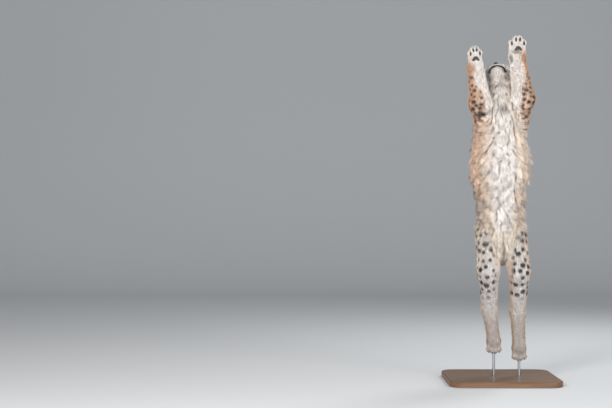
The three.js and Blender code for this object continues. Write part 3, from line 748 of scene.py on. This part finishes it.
def build_skin():
    vertices, quads = surface_nets(skin_field, BODY_LOW, BODY_HIGH, CELL)
    vertices, triangles = refined(vertices, quads, fine_place)
    vertices = project(skin_field, vertices)
    return vertices, triangles


SKIN, SKIN_FACES = build_skin()
SKIN_NORMALS = in_chunks(lambda p: gradient(skin_field, p), SKIN)
SKIN_WEIGHTS = in_chunks(lambda p: part_weights(part_distances(p)), SKIN)
MARKS = Markings(SKIN, SKIN_WEIGHTS)
skin = new_mesh("skin", SKIN, SKIN_FACES)
# The skin shows only between the tufts. It is darker than they are: partly its own darker underfur, partly
# painted shade down among the tufts
SKIN_SHADE = 0.72
set_colours(skin.data, "Coat", MARKS.colours(SKIN, SKIN_NORMALS, SKIN_WEIGHTS) * SKIN_SHADE)
# Skin under hair: dull, with a grain of about 2.4 mm that is also a low bump, like packed underfur
skin.data.materials.append(coat_material("skin_hair", 0.85, 0.1, 420.0, 0.5))
print("skin", len(SKIN), "vertices", len(SKIN_FACES), "triangles")


# The coat: tufts scattered over the skin, gathered into locks
# Each style is hair length, tuft width, tufts a square centimetre, lock spacing, lock pull, wander.
# Lengths are in millimetres. The densities count against each other only, because build_coat scales them all
# to reach MOST_TRIANGLES. Short hair has tufts of fewer faces.
STYLES = {
    "belly": (50, 2.2, 8.5, 20, 0.55, 0.24),
    "chest": (66, 2.4, 9.0, 26, 0.78, 0.44),
    "neck": (46, 2.0, 10.0, 20, 0.6, 0.22),
    "head": (10, 1.3, 30.0, 9, 0.12, 0.12),
    "tail": (36, 2.2, 8.5, 17, 0.4, 0.25),
    "upper_arm": (24, 1.9, 13.0, 15, 0.4, 0.24),
    "forearm": (17, 1.6, 17.0, 12, 0.35, 0.16),
    "forepaw": (8, 1.2, 28.0, 7, 0.25, 0.18),
    "thigh": (22, 1.8, 14.0, 14, 0.35, 0.16),
    "shank": (16, 1.6, 17.0, 12, 0.3, 0.14),
    "lower": (13, 1.5, 18.0, 9, 0.3, 0.15),
    "hindpaw": (8, 1.2, 28.0, 7, 0.25, 0.18),
}
# A lock gathers tufts from further above and below it than from beside it, so heights count less
LOCK_SQUASH = vec(1, 1, 0.42)
MOST_TRIANGLES = 1430000
PIECE_TRIANGLES = 185000
LONG_TUFT = ((0.0, 0.7), (0.34, 1.0), (0.7, 0.66))
SHORT_TUFT = ((0.0, 0.8), (0.5, 1.0))
LONG_PARTS = {"belly", "chest", "neck", "tail"}
PATCH = 0.003
# A tuft's colour is darker at its root and in its middle than the coat's, by red, green and blue: partly the
# brownish underfur, partly painted shade deep in the coat
ROOT_SHADE = (0.6, 0.53, 0.48)
MIDDLE_SHADE = (0.9, 0.88, 0.87)
TIP_SHADE = 1.06


def kind_of(name):
    return name.removesuffix("_left").removesuffix("_right")


def rings_of(name):
    return LONG_TUFT if kind_of(name) in LONG_PARTS else SHORT_TUFT


def triangles_of(name):
    return 6 * len(rings_of(name)) - 2


STYLE_TABLE = np.array([STYLES[kind_of(name)] for name in PART_NAMES])
TRUNK_COLUMNS = [PART_NAMES.index(name) for name in ("belly", "chest")]


def scatter(rng, count_per_face):
    """Random points on the skin, about as many on each face as count_per_face says."""
    whole_part = np.floor(count_per_face).astype(int)
    counts = whole_part + (rng.random(len(count_per_face)) < count_per_face - whole_part)
    faces = np.repeat(np.arange(len(counts)), counts)
    a, b = rng.random((2, len(faces)))
    flip = a + b > 1
    a[flip], b[flip] = 1 - a[flip], 1 - b[flip]
    shares = np.stack([1 - a - b, a, b], axis=1)
    corners = SKIN_FACES[faces]
    blend = lambda values: np.einsum("nk,nkj->nj", shares, values[corners])
    return blend(SKIN), unit(blend(SKIN_NORMALS)), blend(SKIN_WEIGHTS)


def lie_of(p, n, weights):
    downs = np.array([PARTS[name]["down"] for name in PART_NAMES])
    down = weights @ downs
    q = to_head(p)
    # On the head the hair runs back from the nose, outwards over the cheeks
    sweep = np.stack([np.sign(q[:, 0]) * ramp(np.abs(q[:, 0]), 0, 40) * 0.5, -0.15 * np.ones(len(q)),
                      -np.ones(len(q))], axis=1) @ HEAD_ROWS
    down = down + weights[:, [HEAD_INDEX]] * (sweep - PARTS["head"]["down"])
    # On the trunk it parts at the middle of the belly and runs out over the flanks
    outward = np.stack([-n[:, 1], n[:, 0], np.zeros(len(p))], axis=1) * np.sign(p[:, :1])
    angle = Markings.round_trunk(p)
    on_trunk = weights[:, TRUNK_COLUMNS].sum(axis=1)
    spread = 0.75 * ramp(angle, 0.15, 0.9) * (1 - ramp(angle, 1.7, 2.5)) * on_trunk
    down = down + outward * spread[:, None]
    return unit(down - n * np.sum(n * down, axis=1, keepdims=True))


def turned_about(v, n, angle):
    c, s = np.cos(angle)[:, None], np.sin(angle)[:, None]
    return v * c + np.cross(n, v) * s


def tuft_ends(p, lie, length, height):
    """The tip of each tuft, at its height over the skin where it ends."""
    tip = p + lie * length[:, None]
    d = in_chunks(skin_field, tip)
    n = in_chunks(lambda q: gradient(skin_field, q), tip)
    return tip + n * np.clip(height - d, -30, 60)[:, None]


def build_coat():
    rng = np.random.default_rng(7)
    corners = SKIN[SKIN_FACES]
    one_edge, other_edge = corners[:, 1] - corners[:, 0], corners[:, 2] - corners[:, 0]
    # Each face's area in square centimetres
    area = np.linalg.norm(np.cross(one_edge, other_edge), axis=1) / 200
    face_weights = SKIN_WEIGHTS[SKIN_FACES].mean(axis=1)
    density = area * (face_weights @ STYLE_TABLE[:, 2])
    density *= hair_cover(SKIN[SKIN_FACES].mean(axis=1))
    per_tuft = face_weights @ np.array([triangles_of(name) for name in PART_NAMES])
    density *= MOST_TRIANGLES / (density * per_tuft).sum()
    p, n, weights = scatter(rng, density)
    length, width, _, _, pull, wander = (weights @ STYLE_TABLE).T
    depth = coat_depth(p, weights)
    count = len(p)

    spacing = face_weights @ STYLE_TABLE[:, 3]
    lock_p, lock_n, lock_w = scatter(rng, area * 100 / spacing**2)
    lock_turn = rng.normal(0, 1, len(lock_p))
    lock_length = rng.uniform(0.8, 1.2, len(lock_p))
    lock_lift = rng.uniform(0, 1, len(lock_p))
    lock_angle = Markings.round_trunk(lock_p)
    flank = ramp(lock_angle, 0.6, 1.2) * (1 - ramp(lock_angle, 1.9, 2.4))
    flank = flank * (lock_w[:, TRUNK_COLUMNS] @ (0.5, 1.0))
    # Locks stand at unequal heights, most of all on the flanks
    lock_lift = 0.66 + lock_lift * (0.46 + 0.5 * flank)
    lock_tone = rng.normal(0, 1, len(lock_p))
    tree = kdtree.KDTree(len(lock_p))
    for i, q in enumerate(lock_p):
        tree.insert(Vector(q * LOCK_SQUASH), i)
    tree.balance()
    lock = np.array([tree.find(Vector(q))[1] for q in p * LOCK_SQUASH])

    lie = lie_of(p, n, weights)
    lie = turned_about(lie, n, wander * lock_turn[lock] * 0.8 + wander * rng.normal(0, 0.45, count))
    lock_lie = lie_of(lock_p, lock_n, lock_w)
    lock_wander = lock_w @ STYLE_TABLE[:, 5]
    lock_lie = turned_about(lock_lie, lock_n, lock_wander * lock_turn * 0.8)
    reach = length * lock_length[lock] * rng.uniform(0.8, 1.12, count)
    height = depth * lock_lift[lock] * rng.uniform(0.88, 1.04, count)
    tip = tuft_ends(p, lie, reach, height)
    lock_depth = coat_depth(lock_p, lock_w)
    lock_reach = (lock_w @ STYLE_TABLE[:, 0]) * lock_length
    lock_tip = tuft_ends(lock_p, lock_lie, lock_reach, lock_depth * lock_lift)
    # The tips are drawn towards their lock's tip, and less so on the smooth back
    on_back = ramp(Markings.round_trunk(p), 1.7, 2.3) * weights[:, TRUNK_COLUMNS].sum(axis=1)
    share = (pull * (1 - 0.7 * on_back) * rng.uniform(0.7, 1.15, count))[:, None]
    tip = tip + (lock_tip[lock] - tip) * share * 0.85
    bend = p + lie * (reach * 0.42)[:, None] + n * (height * 0.62)[:, None]
    bend = bend + (lock_tip[lock] - tip) * share * 0.12

    # A tuft has the skin's colour at its root, and further out that of the skin it lies over
    tone = (1 + 0.1 * lock_tone[lock] + rng.normal(0, 0.05, count))[:, None, None]
    under = [p] + [project(skin_field, q, 1, 60) for q in (0.25 * p + 0.5 * bend + 0.25 * tip, tip)]
    base = np.clip(np.stack([MARKS.colours(q, n, weights) for q in under], axis=1) * tone, 0, 1)
    return dict(p=p - n * 1.5, bend=bend, tip=tip, n=n, width=width * rng.uniform(0.75, 1.25, count),
                colour=base, part=np.argmax(weights, axis=1), count=count)


def hair_cover(p):
    """No hair on the nose's leather."""
    q = to_head(p)
    leather = np.linalg.norm(q - (NOSE + vec(0, 0, 3)), axis=1) < 13
    return np.where(leather, 0.0, 1.0)


def tuft_mesh(name, t, chosen, axis, tuft_rings):
    """One coat piece: closed three-sided tufts, with the bake map by their roots."""
    p, bend, tip = (t[k][chosen] for k in ("p", "bend", "tip"))
    count = len(p)
    rows = []
    for s, w in tuft_rings:
        centre = p * (1 - s) ** 2 + bend * 2 * s * (1 - s) + tip * s * s
        along = unit((bend - p) * (1 - s) + (tip - bend) * s)
        across = unit(np.cross(along, t["n"][chosen] + 1e-3))
        out = np.cross(across, along)
        half = (t["width"][chosen] * w / 2)[:, None]
        rows += [centre - across * half, centre + across * half, centre + out * half * 0.7]
    rows.append(tip)
    vertices = np.stack(rows, axis=1)
    per_tuft = vertices.shape[1]
    faces = [[0, 2, 1]]
    for r in range(len(tuft_rings) - 1):
        for k in range(3):
            a, b = 3 * r + k, 3 * r + (k + 1) % 3
            faces += [[a, b, b + 3], [a, b + 3, a + 3]]
    last = 3 * (len(tuft_rings) - 1)
    faces += [[last + k, last + (k + 1) % 3, per_tuft - 1] for k in range(3)]
    faces = np.array(faces)
    every = (faces[None] + per_tuft * np.arange(count)[:, None, None]).reshape(-1, 3)
    obj = new_mesh(name, vertices.reshape(-1, 3), every)

    along_tuft = np.array([s for s, _ in tuft_rings for _ in range(3)] + [1.0])
    # The darker root and middle are partly brownish underfur, partly painted shade deep in the coat
    shade = np.stack([np.interp(along_tuft, [0, 0.35, 1], [root, middle, TIP_SHADE])
                      for root, middle in zip(ROOT_SHADE, MIDDLE_SHADE)], axis=1)
    shares = np.stack([np.interp(along_tuft, [0, 0.5, 1], row) for row in np.eye(3)])
    colours = np.einsum("sv,tsc->tvc", shares, t["colour"][chosen]) * shade[None]
    set_colours(obj.data, "Coat", np.clip(colours, 0, 1).reshape(-1, 3))

    start, end = axis
    way = unit(end - start)
    side = unit(np.cross(way, vec(0.02, 1, 0.01)))
    up = np.cross(way, side)
    q = p - start
    angle = np.arctan2(q @ side, q @ up) / (2 * math.pi) + 0.5
    along = q @ way
    along = (along - along.min()) / max(np.ptp(along), 1e-6)
    centre = 0.01 + 0.98 * np.stack([angle, along], axis=1)
    across_tuft = np.array([-1, 1, 0] * len(tuft_rings) + [0.0])
    patch = np.stack([across_tuft, 2 * along_tuft - 1], axis=1) * PATCH / 2
    uv = (centre[:, None, :] + patch[None]).reshape(-1, 2)
    layer = obj.data.uv_layers.new(name="OFBake")
    layer.data.foreach_set("uv", uv[every.ravel()].astype(np.float32).ravel())
    return obj


SLOTS = {
    "belly": "belly_fur", "chest": "belly_fur", "neck": "belly_fur", "head": "head_fur", "tail": "tail_fur",
    "upper_arm": "flank_fur", "forearm": "flank_fur", "forepaw": "paw_fur",
    "thigh": "leg_fur", "shank": "leg_fur", "lower": "foot_fur", "hindpaw": "foot_fur",
}
# Lynx hair: dull, with a soft sheen at grazing angles, nearly no gloss, and a grain of about 1.1 mm
coat_hair = coat_material("coat_hair", 0.85, 0.3, 900.0, 0.0)
tufts = build_coat()
pieces = []
for index, part in enumerate(PART_NAMES):
    members = np.flatnonzero(tufts["part"] == index)
    if not len(members):
        continue
    start, end = PARTS[part]["axis"]
    members = members[np.argsort((tufts["p"][members] - start) @ (end - start), kind="stable")]
    bands = math.ceil(len(members) * triangles_of(part) / PIECE_TRIANGLES)
    for band, chosen in enumerate(np.array_split(members, bands)):
        piece = tuft_mesh(f"coat_{part}_{band + 1}", tufts, chosen, PARTS[part]["axis"], rings_of(part))
        piece.data.materials.append(coat_hair)
        SLOTS[kind_of(part)]
        pieces.append(piece)
print("coat", tufts["count"], "tufts in", len(pieces), "pieces")

# What rides on the head and feet
details = []


def keep(piece, material):
    piece.data.materials.append(material)
    details.append(piece)


def field_piece(name, field, low, high, cell):
    vertices, quads = surface_nets(field, low, high, cell)
    return new_mesh(name, project(field, vertices, 2, cell), quads)


def tube(points, radii, sides=6):
    """A closed tube through points, pointed where a radius is small. Returns vertices and triangles."""
    points = np.asarray(points, dtype=float)
    along = unit(np.gradient(points, axis=0))
    side = unit(np.cross(along, vec(0.31, 0.22, 0.93)))
    up = np.cross(side, along)
    angles = np.arange(sides) * 2 * math.pi / sides
    rings = [p + r * (np.cos(angles)[:, None] * s + np.sin(angles)[:, None] * u)
             for p, r, s, u in zip(points, radii, side, up)]
    vertices = np.concatenate(rings + [points[:1], points[-1:]])
    faces = []
    for r in range(len(points) - 1):
        for k in range(sides):
            a, b = r * sides + k, r * sides + (k + 1) % sides
            faces += [[a, a + sides, b], [b, a + sides, b + sides]]
    first, last = len(vertices) - 2, len(vertices) - 1
    end = (len(points) - 1) * sides
    for k in range(sides):
        faces += [[first, k, (k + 1) % sides], [last, end + (k + 1) % sides, end + k]]
    return vertices, np.array(faces)


def gathered(name, tubes):
    """Several meshes of triangles as one object."""
    vertices, faces, count = [], [], 0
    for v, f in tubes:
        vertices.append(v)
        faces.append(f + count)
        count += len(v)
    return new_mesh(name, np.concatenate(vertices), np.concatenate(faces))


# Wet-looking skin is dark and part glossy: the lips most, the nose and the pads less
leather = plain_material("nose_leather", "#2c2120", 0.6)
black_skin = plain_material("lip_skin", "#1d1816", 0.38)
pad_skin = plain_material("pad_skin", "#2e2827", 0.6)
# Horn is brown and glossy, and a whisker is a pale, fairly glossy hair
claw_horn = plain_material("claw_horn", "#4b3f35", 0.3)
whisker_hair = plain_material("whisker_hair", "#f2eee6", 0.35)


# Nose leather with its nostrils
def nose_field(p):
    q = to_head(p)
    body = smooth_min(6, [
        oval_distance(q[:, 0], q[:, 1] - 3, q[:, 2] - 88, 13.2, 9.2, 9.4),
        oval_distance(q[:, 0], q[:, 1] + 6, q[:, 2] - 91, 6, 7, 6),
    ])
    holes = np.minimum.reduce([
        oval_distance(q[:, 0] - s * 6.8, q[:, 1] - 1, q[:, 2] - 97.5, 3.1, 2.3, 5.5) for s in (1, -1)])
    return np.maximum(body, -holes)


nose_at = from_head(NOSE)
keep(field_piece("nose", nose_field, nose_at - 19, nose_at + 19, 0.9), leather)


# Lips: a dark rim along the mouth, on the skin
lip_radii = np.interp(np.linspace(0, 1, 15), [0, 0.3, 0.7, 1], [1.6, 4.6, 5.2, 3.4])
keep(gathered("lips", [tube(mouth_line(s), lip_radii, 8) for s in (1, -1)]), black_skin)

# Eyes, each a ball with its iris and round pupil, and lids round it
EYE_RADIUS = 11.5
# A wet eye: very smooth under a clear coat, with the iris's colours on the ball
eye_material, eye_shader = new_material("eye")
eye_colour = add(eye_material, "ShaderNodeAttribute", attribute_name="Iris")
link(eye_material, eye_colour.outputs["Color"], eye_shader.inputs["Base Color"])
eye_shader.inputs["Roughness"].default_value = 0.06
eye_shader.inputs["Coat Weight"].default_value = 1.0


def eye_frame(sign):
    look = unit(vec(sign * 0.42, 0.52, 0.74))
    side = unit(np.cross(look, vec(0, 1, 0)))
    return EYE * vec(sign, 1, 1), look, side, np.cross(side, look)


def eye_ball(sign):
    centre, look, side, up = eye_frame(sign)
    rings, sides = 40, 40
    polar = np.linspace(0, math.pi, rings)[:, None]
    around = np.arange(sides)[None] * 2 * math.pi / sides
    grid = (np.cos(polar)[..., None] * look + np.sin(polar)[..., None]
            * (np.cos(around)[..., None] * side + np.sin(around)[..., None] * up))
    faces = []
    for r in range(rings - 1):
        for k in range(sides):
            a, b = r * sides + k, r * sides + (k + 1) % sides
            faces += [[a, a + sides, b + sides, b]]
    obj = new_mesh("eyeball_" + ("left" if sign > 0 else "right"),
                   from_head(centre + EYE_RADIUS * grid.reshape(-1, 3)), faces)
    radius = np.repeat(polar[:, 0], sides)
    colour = mixed(srgb("#c2923a"), srgb("#7c5420"), ramp(radius, 0.3, 0.75))
    colour = mixed(colour, srgb("#0b0908"), ramp(radius, 0.74, 0.8))
    colour = mixed(colour, srgb("#050505"), 1 - ramp(radius, 0.24, 0.29))
    set_colours(obj.data, "Iris", colour)
    return obj


def lid(sign):
    centre, look, side, up = eye_frame(sign)
    turns = np.linspace(0, 2 * math.pi, 33)
    points = [centre + look * 5.6 + side * 11.6 * math.cos(a) + up * 8.6 * math.sin(a) for a in turns]
    return tube(from_head(np.array(points)), np.full(33, 2.6), 8)


for sign, name in ((1, "left"), (-1, "right")):
    keep(eye_ball(sign), eye_material)
    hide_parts("eye_" + name)
keep(gathered("lids", [lid(s) for s in (1, -1)]), black_skin)


# Whiskers, bent back from the pads
def whiskers():
    rng = np.random.default_rng(31)
    made = []
    for sign in (1, -1):
        for row in range(4):
            for place in range(5):
                root = vec(sign * (20 + place * 3.4), -18 + row * 6.5, 80 - place * 5.5)
                length = rng.uniform(55, 100) * (1 - 0.12 * abs(row - 1.5))
                out = vec(sign * 0.9, -0.25 + row * 0.2, rng.uniform(-0.15, 0.25))
                end = root + out * length * 0.8 + vec(0, 0, -length * 0.35)
                line = from_head(bezier(root, root + out * length * 0.45, end, 7))
                made.append(tube(line, np.linspace(0.55, 0.12, 7), 4))
    return made


keep(gathered("whiskers", whiskers()), whisker_hair)

# Ears: a thin cup that narrows to its tip, dark behind and pale inside, with a black tuft
EAR_SIZE = dict(height=78, width=62, depth=36, wall=3.5)


def ear_frame(sign):
    turned = Euler((math.radians(-42), math.radians(sign * 24), math.radians(sign * -26)), "YXZ").to_matrix()
    return np.array(turned), EAR * vec(sign, 1, 1)


def ear_to_world(p, sign):
    rows, place = ear_frame(sign)
    return from_head(np.asarray(p) @ rows.T + place)


def ear_surface(t, a, shrink):
    wide = (EAR_SIZE["width"] / 2 - shrink) * np.sqrt(np.maximum(1 - t, 0.0)) * (1 - 0.22 * t)
    deep = (EAR_SIZE["depth"] / 2 - shrink) * (1 - t * 0.8)
    height = t * (EAR_SIZE["height"] - shrink)
    return np.stack([np.sin(a) * wide, height, -np.cos(a) * deep - t * 7], axis=-1)


def ear_shell(sign):
    rows, columns = 16, 25
    t = np.linspace(-0.08, 0.985, rows)[:, None] * np.ones(columns)
    a = np.linspace(-2.2, 2.2, columns)[None] * np.ones((rows, 1)) * (1 - 0.25 * t)
    outer = ear_surface(t, a, 0.0).reshape(-1, 3)
    inner = ear_surface(t, a * 0.98, EAR_SIZE["wall"]).reshape(-1, 3) + vec(0, 0, 1.0)
    vertices = ear_to_world(np.concatenate([outer, inner]), sign)
    half = rows * columns
    faces = []
    for r in range(rows - 1):
        for c in range(columns - 1):
            i = r * columns + c
            faces += [[i, i + 1, i + columns + 1, i + columns],
                      [half + i, half + i + columns, half + i + columns + 1, half + i + 1]]
    rim = ([r * columns for r in range(rows)] + [(rows - 1) * columns + c for c in range(1, columns)]
           + [r * columns + columns - 1 for r in range(rows - 2, -1, -1)] + list(range(columns - 2, 0, -1)))
    for i, j in zip(rim, rim[1:] + rim[:1]):
        faces.append([i, j, half + j, half + i])
    if sign < 0:
        faces = [f[::-1] for f in faces]
    name = "left" if sign > 0 else "right"
    obj = new_mesh("ear_shell_" + name, vertices, faces)
    height = np.tile(t.ravel(), 2)
    behind = mixed(srgb("#9a8f83"), srgb("#201a17"), ramp(np.abs(height - 0.42), 0.12, 0.25))
    inside = mixed(srgb("#e3d6c6"), srgb("#b9a38e"), ramp(height, 0.3, 0.9))
    colour = np.concatenate([behind[:half], inside[half:]])
    set_colours(obj.data, "Coat", colour)
    return obj


def ear_hair(sign):
    """Short dark hair behind, long pale hair across the front edge and the black tuft at the tip."""
    rng = np.random.default_rng(41 if sign > 0 else 42)
    hairs = []
    # Dark hair, with a pale band across the ear's back
    for _ in range(1500):
        t, a = rng.uniform(0.0, 0.95), rng.uniform(-2.1, 2.1)
        p = ear_surface(np.array(t), np.array(a * (1 - 0.25 * t)), 0.0)
        out = unit(vec(math.sin(a), 0.1, -math.cos(a)))
        length = rng.uniform(9, 14)
        height = min(t + length / EAR_SIZE["height"], 0.99)
        tip = ear_surface(np.array(height), np.array(a * 0.9), 0.0) + out * 2.6
        from_band = ramp(np.array([abs(t - 0.42)]), 0.12, 0.25)
        colour = mixed(srgb("#a3978a"), srgb("#241d19"), from_band)[0]
        hairs.append((p - out * 0.5, (p + tip) / 2 + out * 2.2, tip, colour, 1.7))
    for _ in range(420):
        edge = rng.choice([-1, 1])
        t = rng.uniform(0.02, 0.8)
        p = ear_surface(np.array(t), np.array(edge * rng.uniform(1.7, 2.15) * (1 - 0.25 * t)), 2.0)
        tip = p + vec(-edge * rng.uniform(8, 20), rng.uniform(10, 22), rng.uniform(2, 9))
        colour = srgb("#eadfd0") * rng.uniform(0.8, 1)
        hairs.append((p, (p + tip) / 2 + vec(-edge * 2, 0, 4), tip, colour, 1.6))
    for _ in range(130):
        p = ear_surface(np.array(rng.uniform(0.86, 0.97)), np.array(rng.uniform(-1.4, 1.4)), 1.0)
        tip = vec(rng.normal(0, 2.2), EAR_SIZE["height"] + rng.uniform(14, 34), -8 + rng.normal(0, 2.5))
        hairs.append((p, (p * 0.6 + tip * 0.4) + vec(0, 4, -1), tip, srgb("#120e0c"), 1.8))
    *places, colours, widths = (np.array(x) for x in zip(*hairs))
    p, bend, tip = (ear_to_world(x, sign) for x in places)
    centre = ear_to_world(vec(0, 30, 20), sign)
    t = dict(p=p, bend=bend, tip=tip, n=unit(p - centre), width=widths,
             colour=np.repeat(colours[:, None], 3, axis=1))
    axis = (ear_to_world(vec(0, 0, 0), sign), ear_to_world(vec(0, 1, 0), sign))
    return tuft_mesh("coat_ear_" + ("left" if sign > 0 else "right"), t, np.arange(len(p)), axis, LONG_TUFT)


# Skin of the ear: dull, with a grain of about 2 mm and a low bump
ear_skin = coat_material("ear_skin", 0.8, 0.1, 500.0, 0.4)
for sign, name in ((1, "left"), (-1, "right")):
    keep(ear_shell(sign), ear_skin)
    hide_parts("ear_" + name)
    keep(ear_hair(sign), coat_hair)


# Pads under the paws and claws at the toes
def paw_frames():
    for name, side in SIDES.items():
        rows = turn(side["fore_lean"])
        yield "fore", name, side["fore_tip"] - side["wrist"][2], side["wrist"], rows
        yield "hind", name, side["ball"][2] - side["toes"], side["ball"], turn(0)


def pads_and_claws():
    pads, claws = [], []
    for kind, name, length, place, rows in paw_frames():
        fore = kind == "fore"
        face = -1 if fore else 1
        root_z = length * 0.36 if fore else -length * 0.34
        depth_at = face * 30
        shapes = [joined(8, [
            ball(vec(0, depth_at, root_z - 4 * face), 13, 6, 10),
            ball(vec(12, depth_at * 0.95, root_z + 6 * face), 8, 6, 7),
            ball(vec(-12, depth_at * 0.95, root_z + 6 * face), 8, 6, 7),
        ])]
        for n in (-1.5, -0.5, 0.5, 1.5):
            if fore:
                toe = fore_toe(n, length, SIDES[name]["fore_wide"])
            else:
                toe = vec(n * 19, -10, -length + 15 + abs(n) * 6)
            up = 1 if fore else -1
            shapes.append(ball(toe + vec(0, face * 13.5, -4 * up), 6.2, 5.0, 13.0 if fore else 11.0))
            root = toe + vec(0, -face * 6, up * 9)
            end = toe + vec(0, face * 1.5, 12 if fore else -20)
            line = bezier(root, toe + vec(0, -face * 8, up * 18), end, 7)
            claws.append(tube(line @ rows + place, np.array([2.6, 2.7, 2.4, 1.9, 1.4, 0.8, 0.2]), 8))
        low = place + vec(-48, -45, -10 if fore else -length - 8)
        high = place + vec(48, 45, length + 8 if fore else 10)
        field = lambda p: np.minimum.reduce([shape((p - place) @ rows.T) for shape in shapes])
        pads.append(field_piece(f"pads_{kind}_{name}", field, low, high, 2.0))
    return pads, gathered("claws", claws)


pad_pieces, claw_piece = pads_and_claws()
for pad_piece in pad_pieces:
    keep(pad_piece, pad_skin)
keep(claw_piece, claw_horn)

FLESH_NODES = ["torso", "neck", "tail", "head"] + [
    n + s for n in ("upper_arm_", "forearm_", "forepaw_", "thigh_", "shank_", "hindfoot_") for s in SIDES]
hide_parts(*FLESH_NODES)
for piece in [skin, *pieces, *details]:
    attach(piece, "root")

# Oiled oak: brown streaks along the board, half glossy. They are about 13 mm wide and 170 mm long, drawn
# much coarser than real oak's pores, so that they show from the camera
wood, wood_shader = new_material("oak")
wood_place = add(wood, "ShaderNodeTexCoord")
wood_stretch = add(wood, "ShaderNodeMapping",
                   {"Vector": wood_place.outputs["Object"], "Scale": (2.0, 26.0, 26.0)})
wood_noise = add(wood, "ShaderNodeTexNoise",
                 {"Vector": wood_stretch.outputs["Vector"], "Scale": 3.0, "Detail": 6.0})
wood_ramp = add(wood, "ShaderNodeMix",
                {"Factor": wood_noise.outputs["Fac"], "A": (*srgb("#3f2b1c"), 1), "B": (*srgb("#7b5a3c"), 1)},
                data_type="RGBA")
link(wood, wood_ramp.outputs["Result"], wood_shader.inputs["Base Color"])
wood_shader.inputs["Roughness"].default_value = 0.42
# Brushed steel: a plain metal with a blurred gloss, as the rods are too thin for the brushing to show
steel = plain_material("brushed_steel", "#9a9c9e", 0.3, Metallic=1.0)


for node, material in (("stand_base", wood), ("stand_rod_left", steel), ("stand_rod_right", steel)):
    materials = frame["nodes"][node].data.materials
    materials.clear()
    materials.append(material)


# Studio: a floor that curves up behind, soft light, and the photo's framing
def studio():
    width, front, back, rise, radius = 24.0, -10.0, 9.0, 9.0, 2.4
    profile = [(front, 0.0), (back - radius, 0.0)]
    profile += [(back - radius + radius * math.sin(a), radius - radius * math.cos(a))
                for a in np.linspace(0.1, math.pi / 2, 12)]
    profile.append((back, rise))
    vertices = [(x, y, z) for y, z in profile for x in (-width / 2, width / 2)]
    faces = [[2 * i, 2 * i + 1, 2 * i + 3, 2 * i + 2] for i in range(len(profile) - 1)]
    sweep = new_mesh("studio_sweep", np.array(vertices) / MM - vec(0, 0, 0.5), faces)
    # Paper: pale grey and dull
    sweep.data.materials.append(plain_material("studio_paper", "#c3c6c8", 0.9))
    sweep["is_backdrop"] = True


studio()


def area_light(name, place, aim, size, power, code):
    data = bpy.data.lights.new(name, "AREA")
    data.shape = "DISK"
    data.size = size
    data.energy = power
    data.color = srgb(code)
    obj = bpy.data.objects.new(name, data)
    bpy.context.scene.collection.objects.link(obj)
    obj.location = place
    obj.rotation_euler = (Vector(aim) - Vector(place)).to_track_quat("-Z", "Y").to_euler()


# Each light's name, place, aim, width in metres, power in watts and colour
LIGHTS = (
    ("key", (-3.0, -4.6, 2.9), (0, 0, 1.0), 2.0, 280, "#fffaf7"),
    ("fill", (3.6, -4.2, 1.6), (0, 0, 0.9), 2.6, 165, "#f6f7f9"),
    ("bounce", (-0.4, -3.4, 0.35), (0, 0, 0.75), 2.2, 80, "#f8f8fb"),
    ("rim", (1.8, 2.4, 3.2), (0, 0, 1.2), 1.4, 80, "#ffffff"),
)
for light in LIGHTS:
    area_light(*light)
world = bpy.data.worlds.new("sky")
world.use_nodes = True
sky = world.node_tree.nodes["Background"].inputs
sky["Color"].default_value = (*srgb("#f0f1f3"), 1)
sky["Strength"].default_value = 0.46
bpy.context.scene.world = world
bpy.context.scene.view_settings.view_transform = "Standard"

# The photo is 612 by 408 pixels at 5.4 mm a pixel at the lynx, and its centre is left of the animal
PHOTO_WIDTH = 612
MM_PER_PIXEL = 5.4
FRAME_WIDTH = PHOTO_WIDTH * MM_PER_PIXEL * MM
# The plane, in front of the frame's origin, where that scale holds
SCALE_PLANE = -0.05
CAMERA_CENTRE = (-1.058, 0.963)
LENS = 75.0
SENSOR = 36.0
camera_data = bpy.data.cameras.new("camera")
camera_data.lens = LENS
camera_data.sensor_width = SENSOR
camera = bpy.data.objects.new("camera", camera_data)
bpy.context.scene.collection.objects.link(camera)
camera.location = (CAMERA_CENTRE[0], SCALE_PLANE - LENS * FRAME_WIDTH / SENSOR, CAMERA_CENTRE[1])
camera.rotation_euler = (math.pi / 2, 0, 0)
bpy.context.scene.camera = camera

END_BOUNDS = [list(map(float, corner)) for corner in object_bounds()]
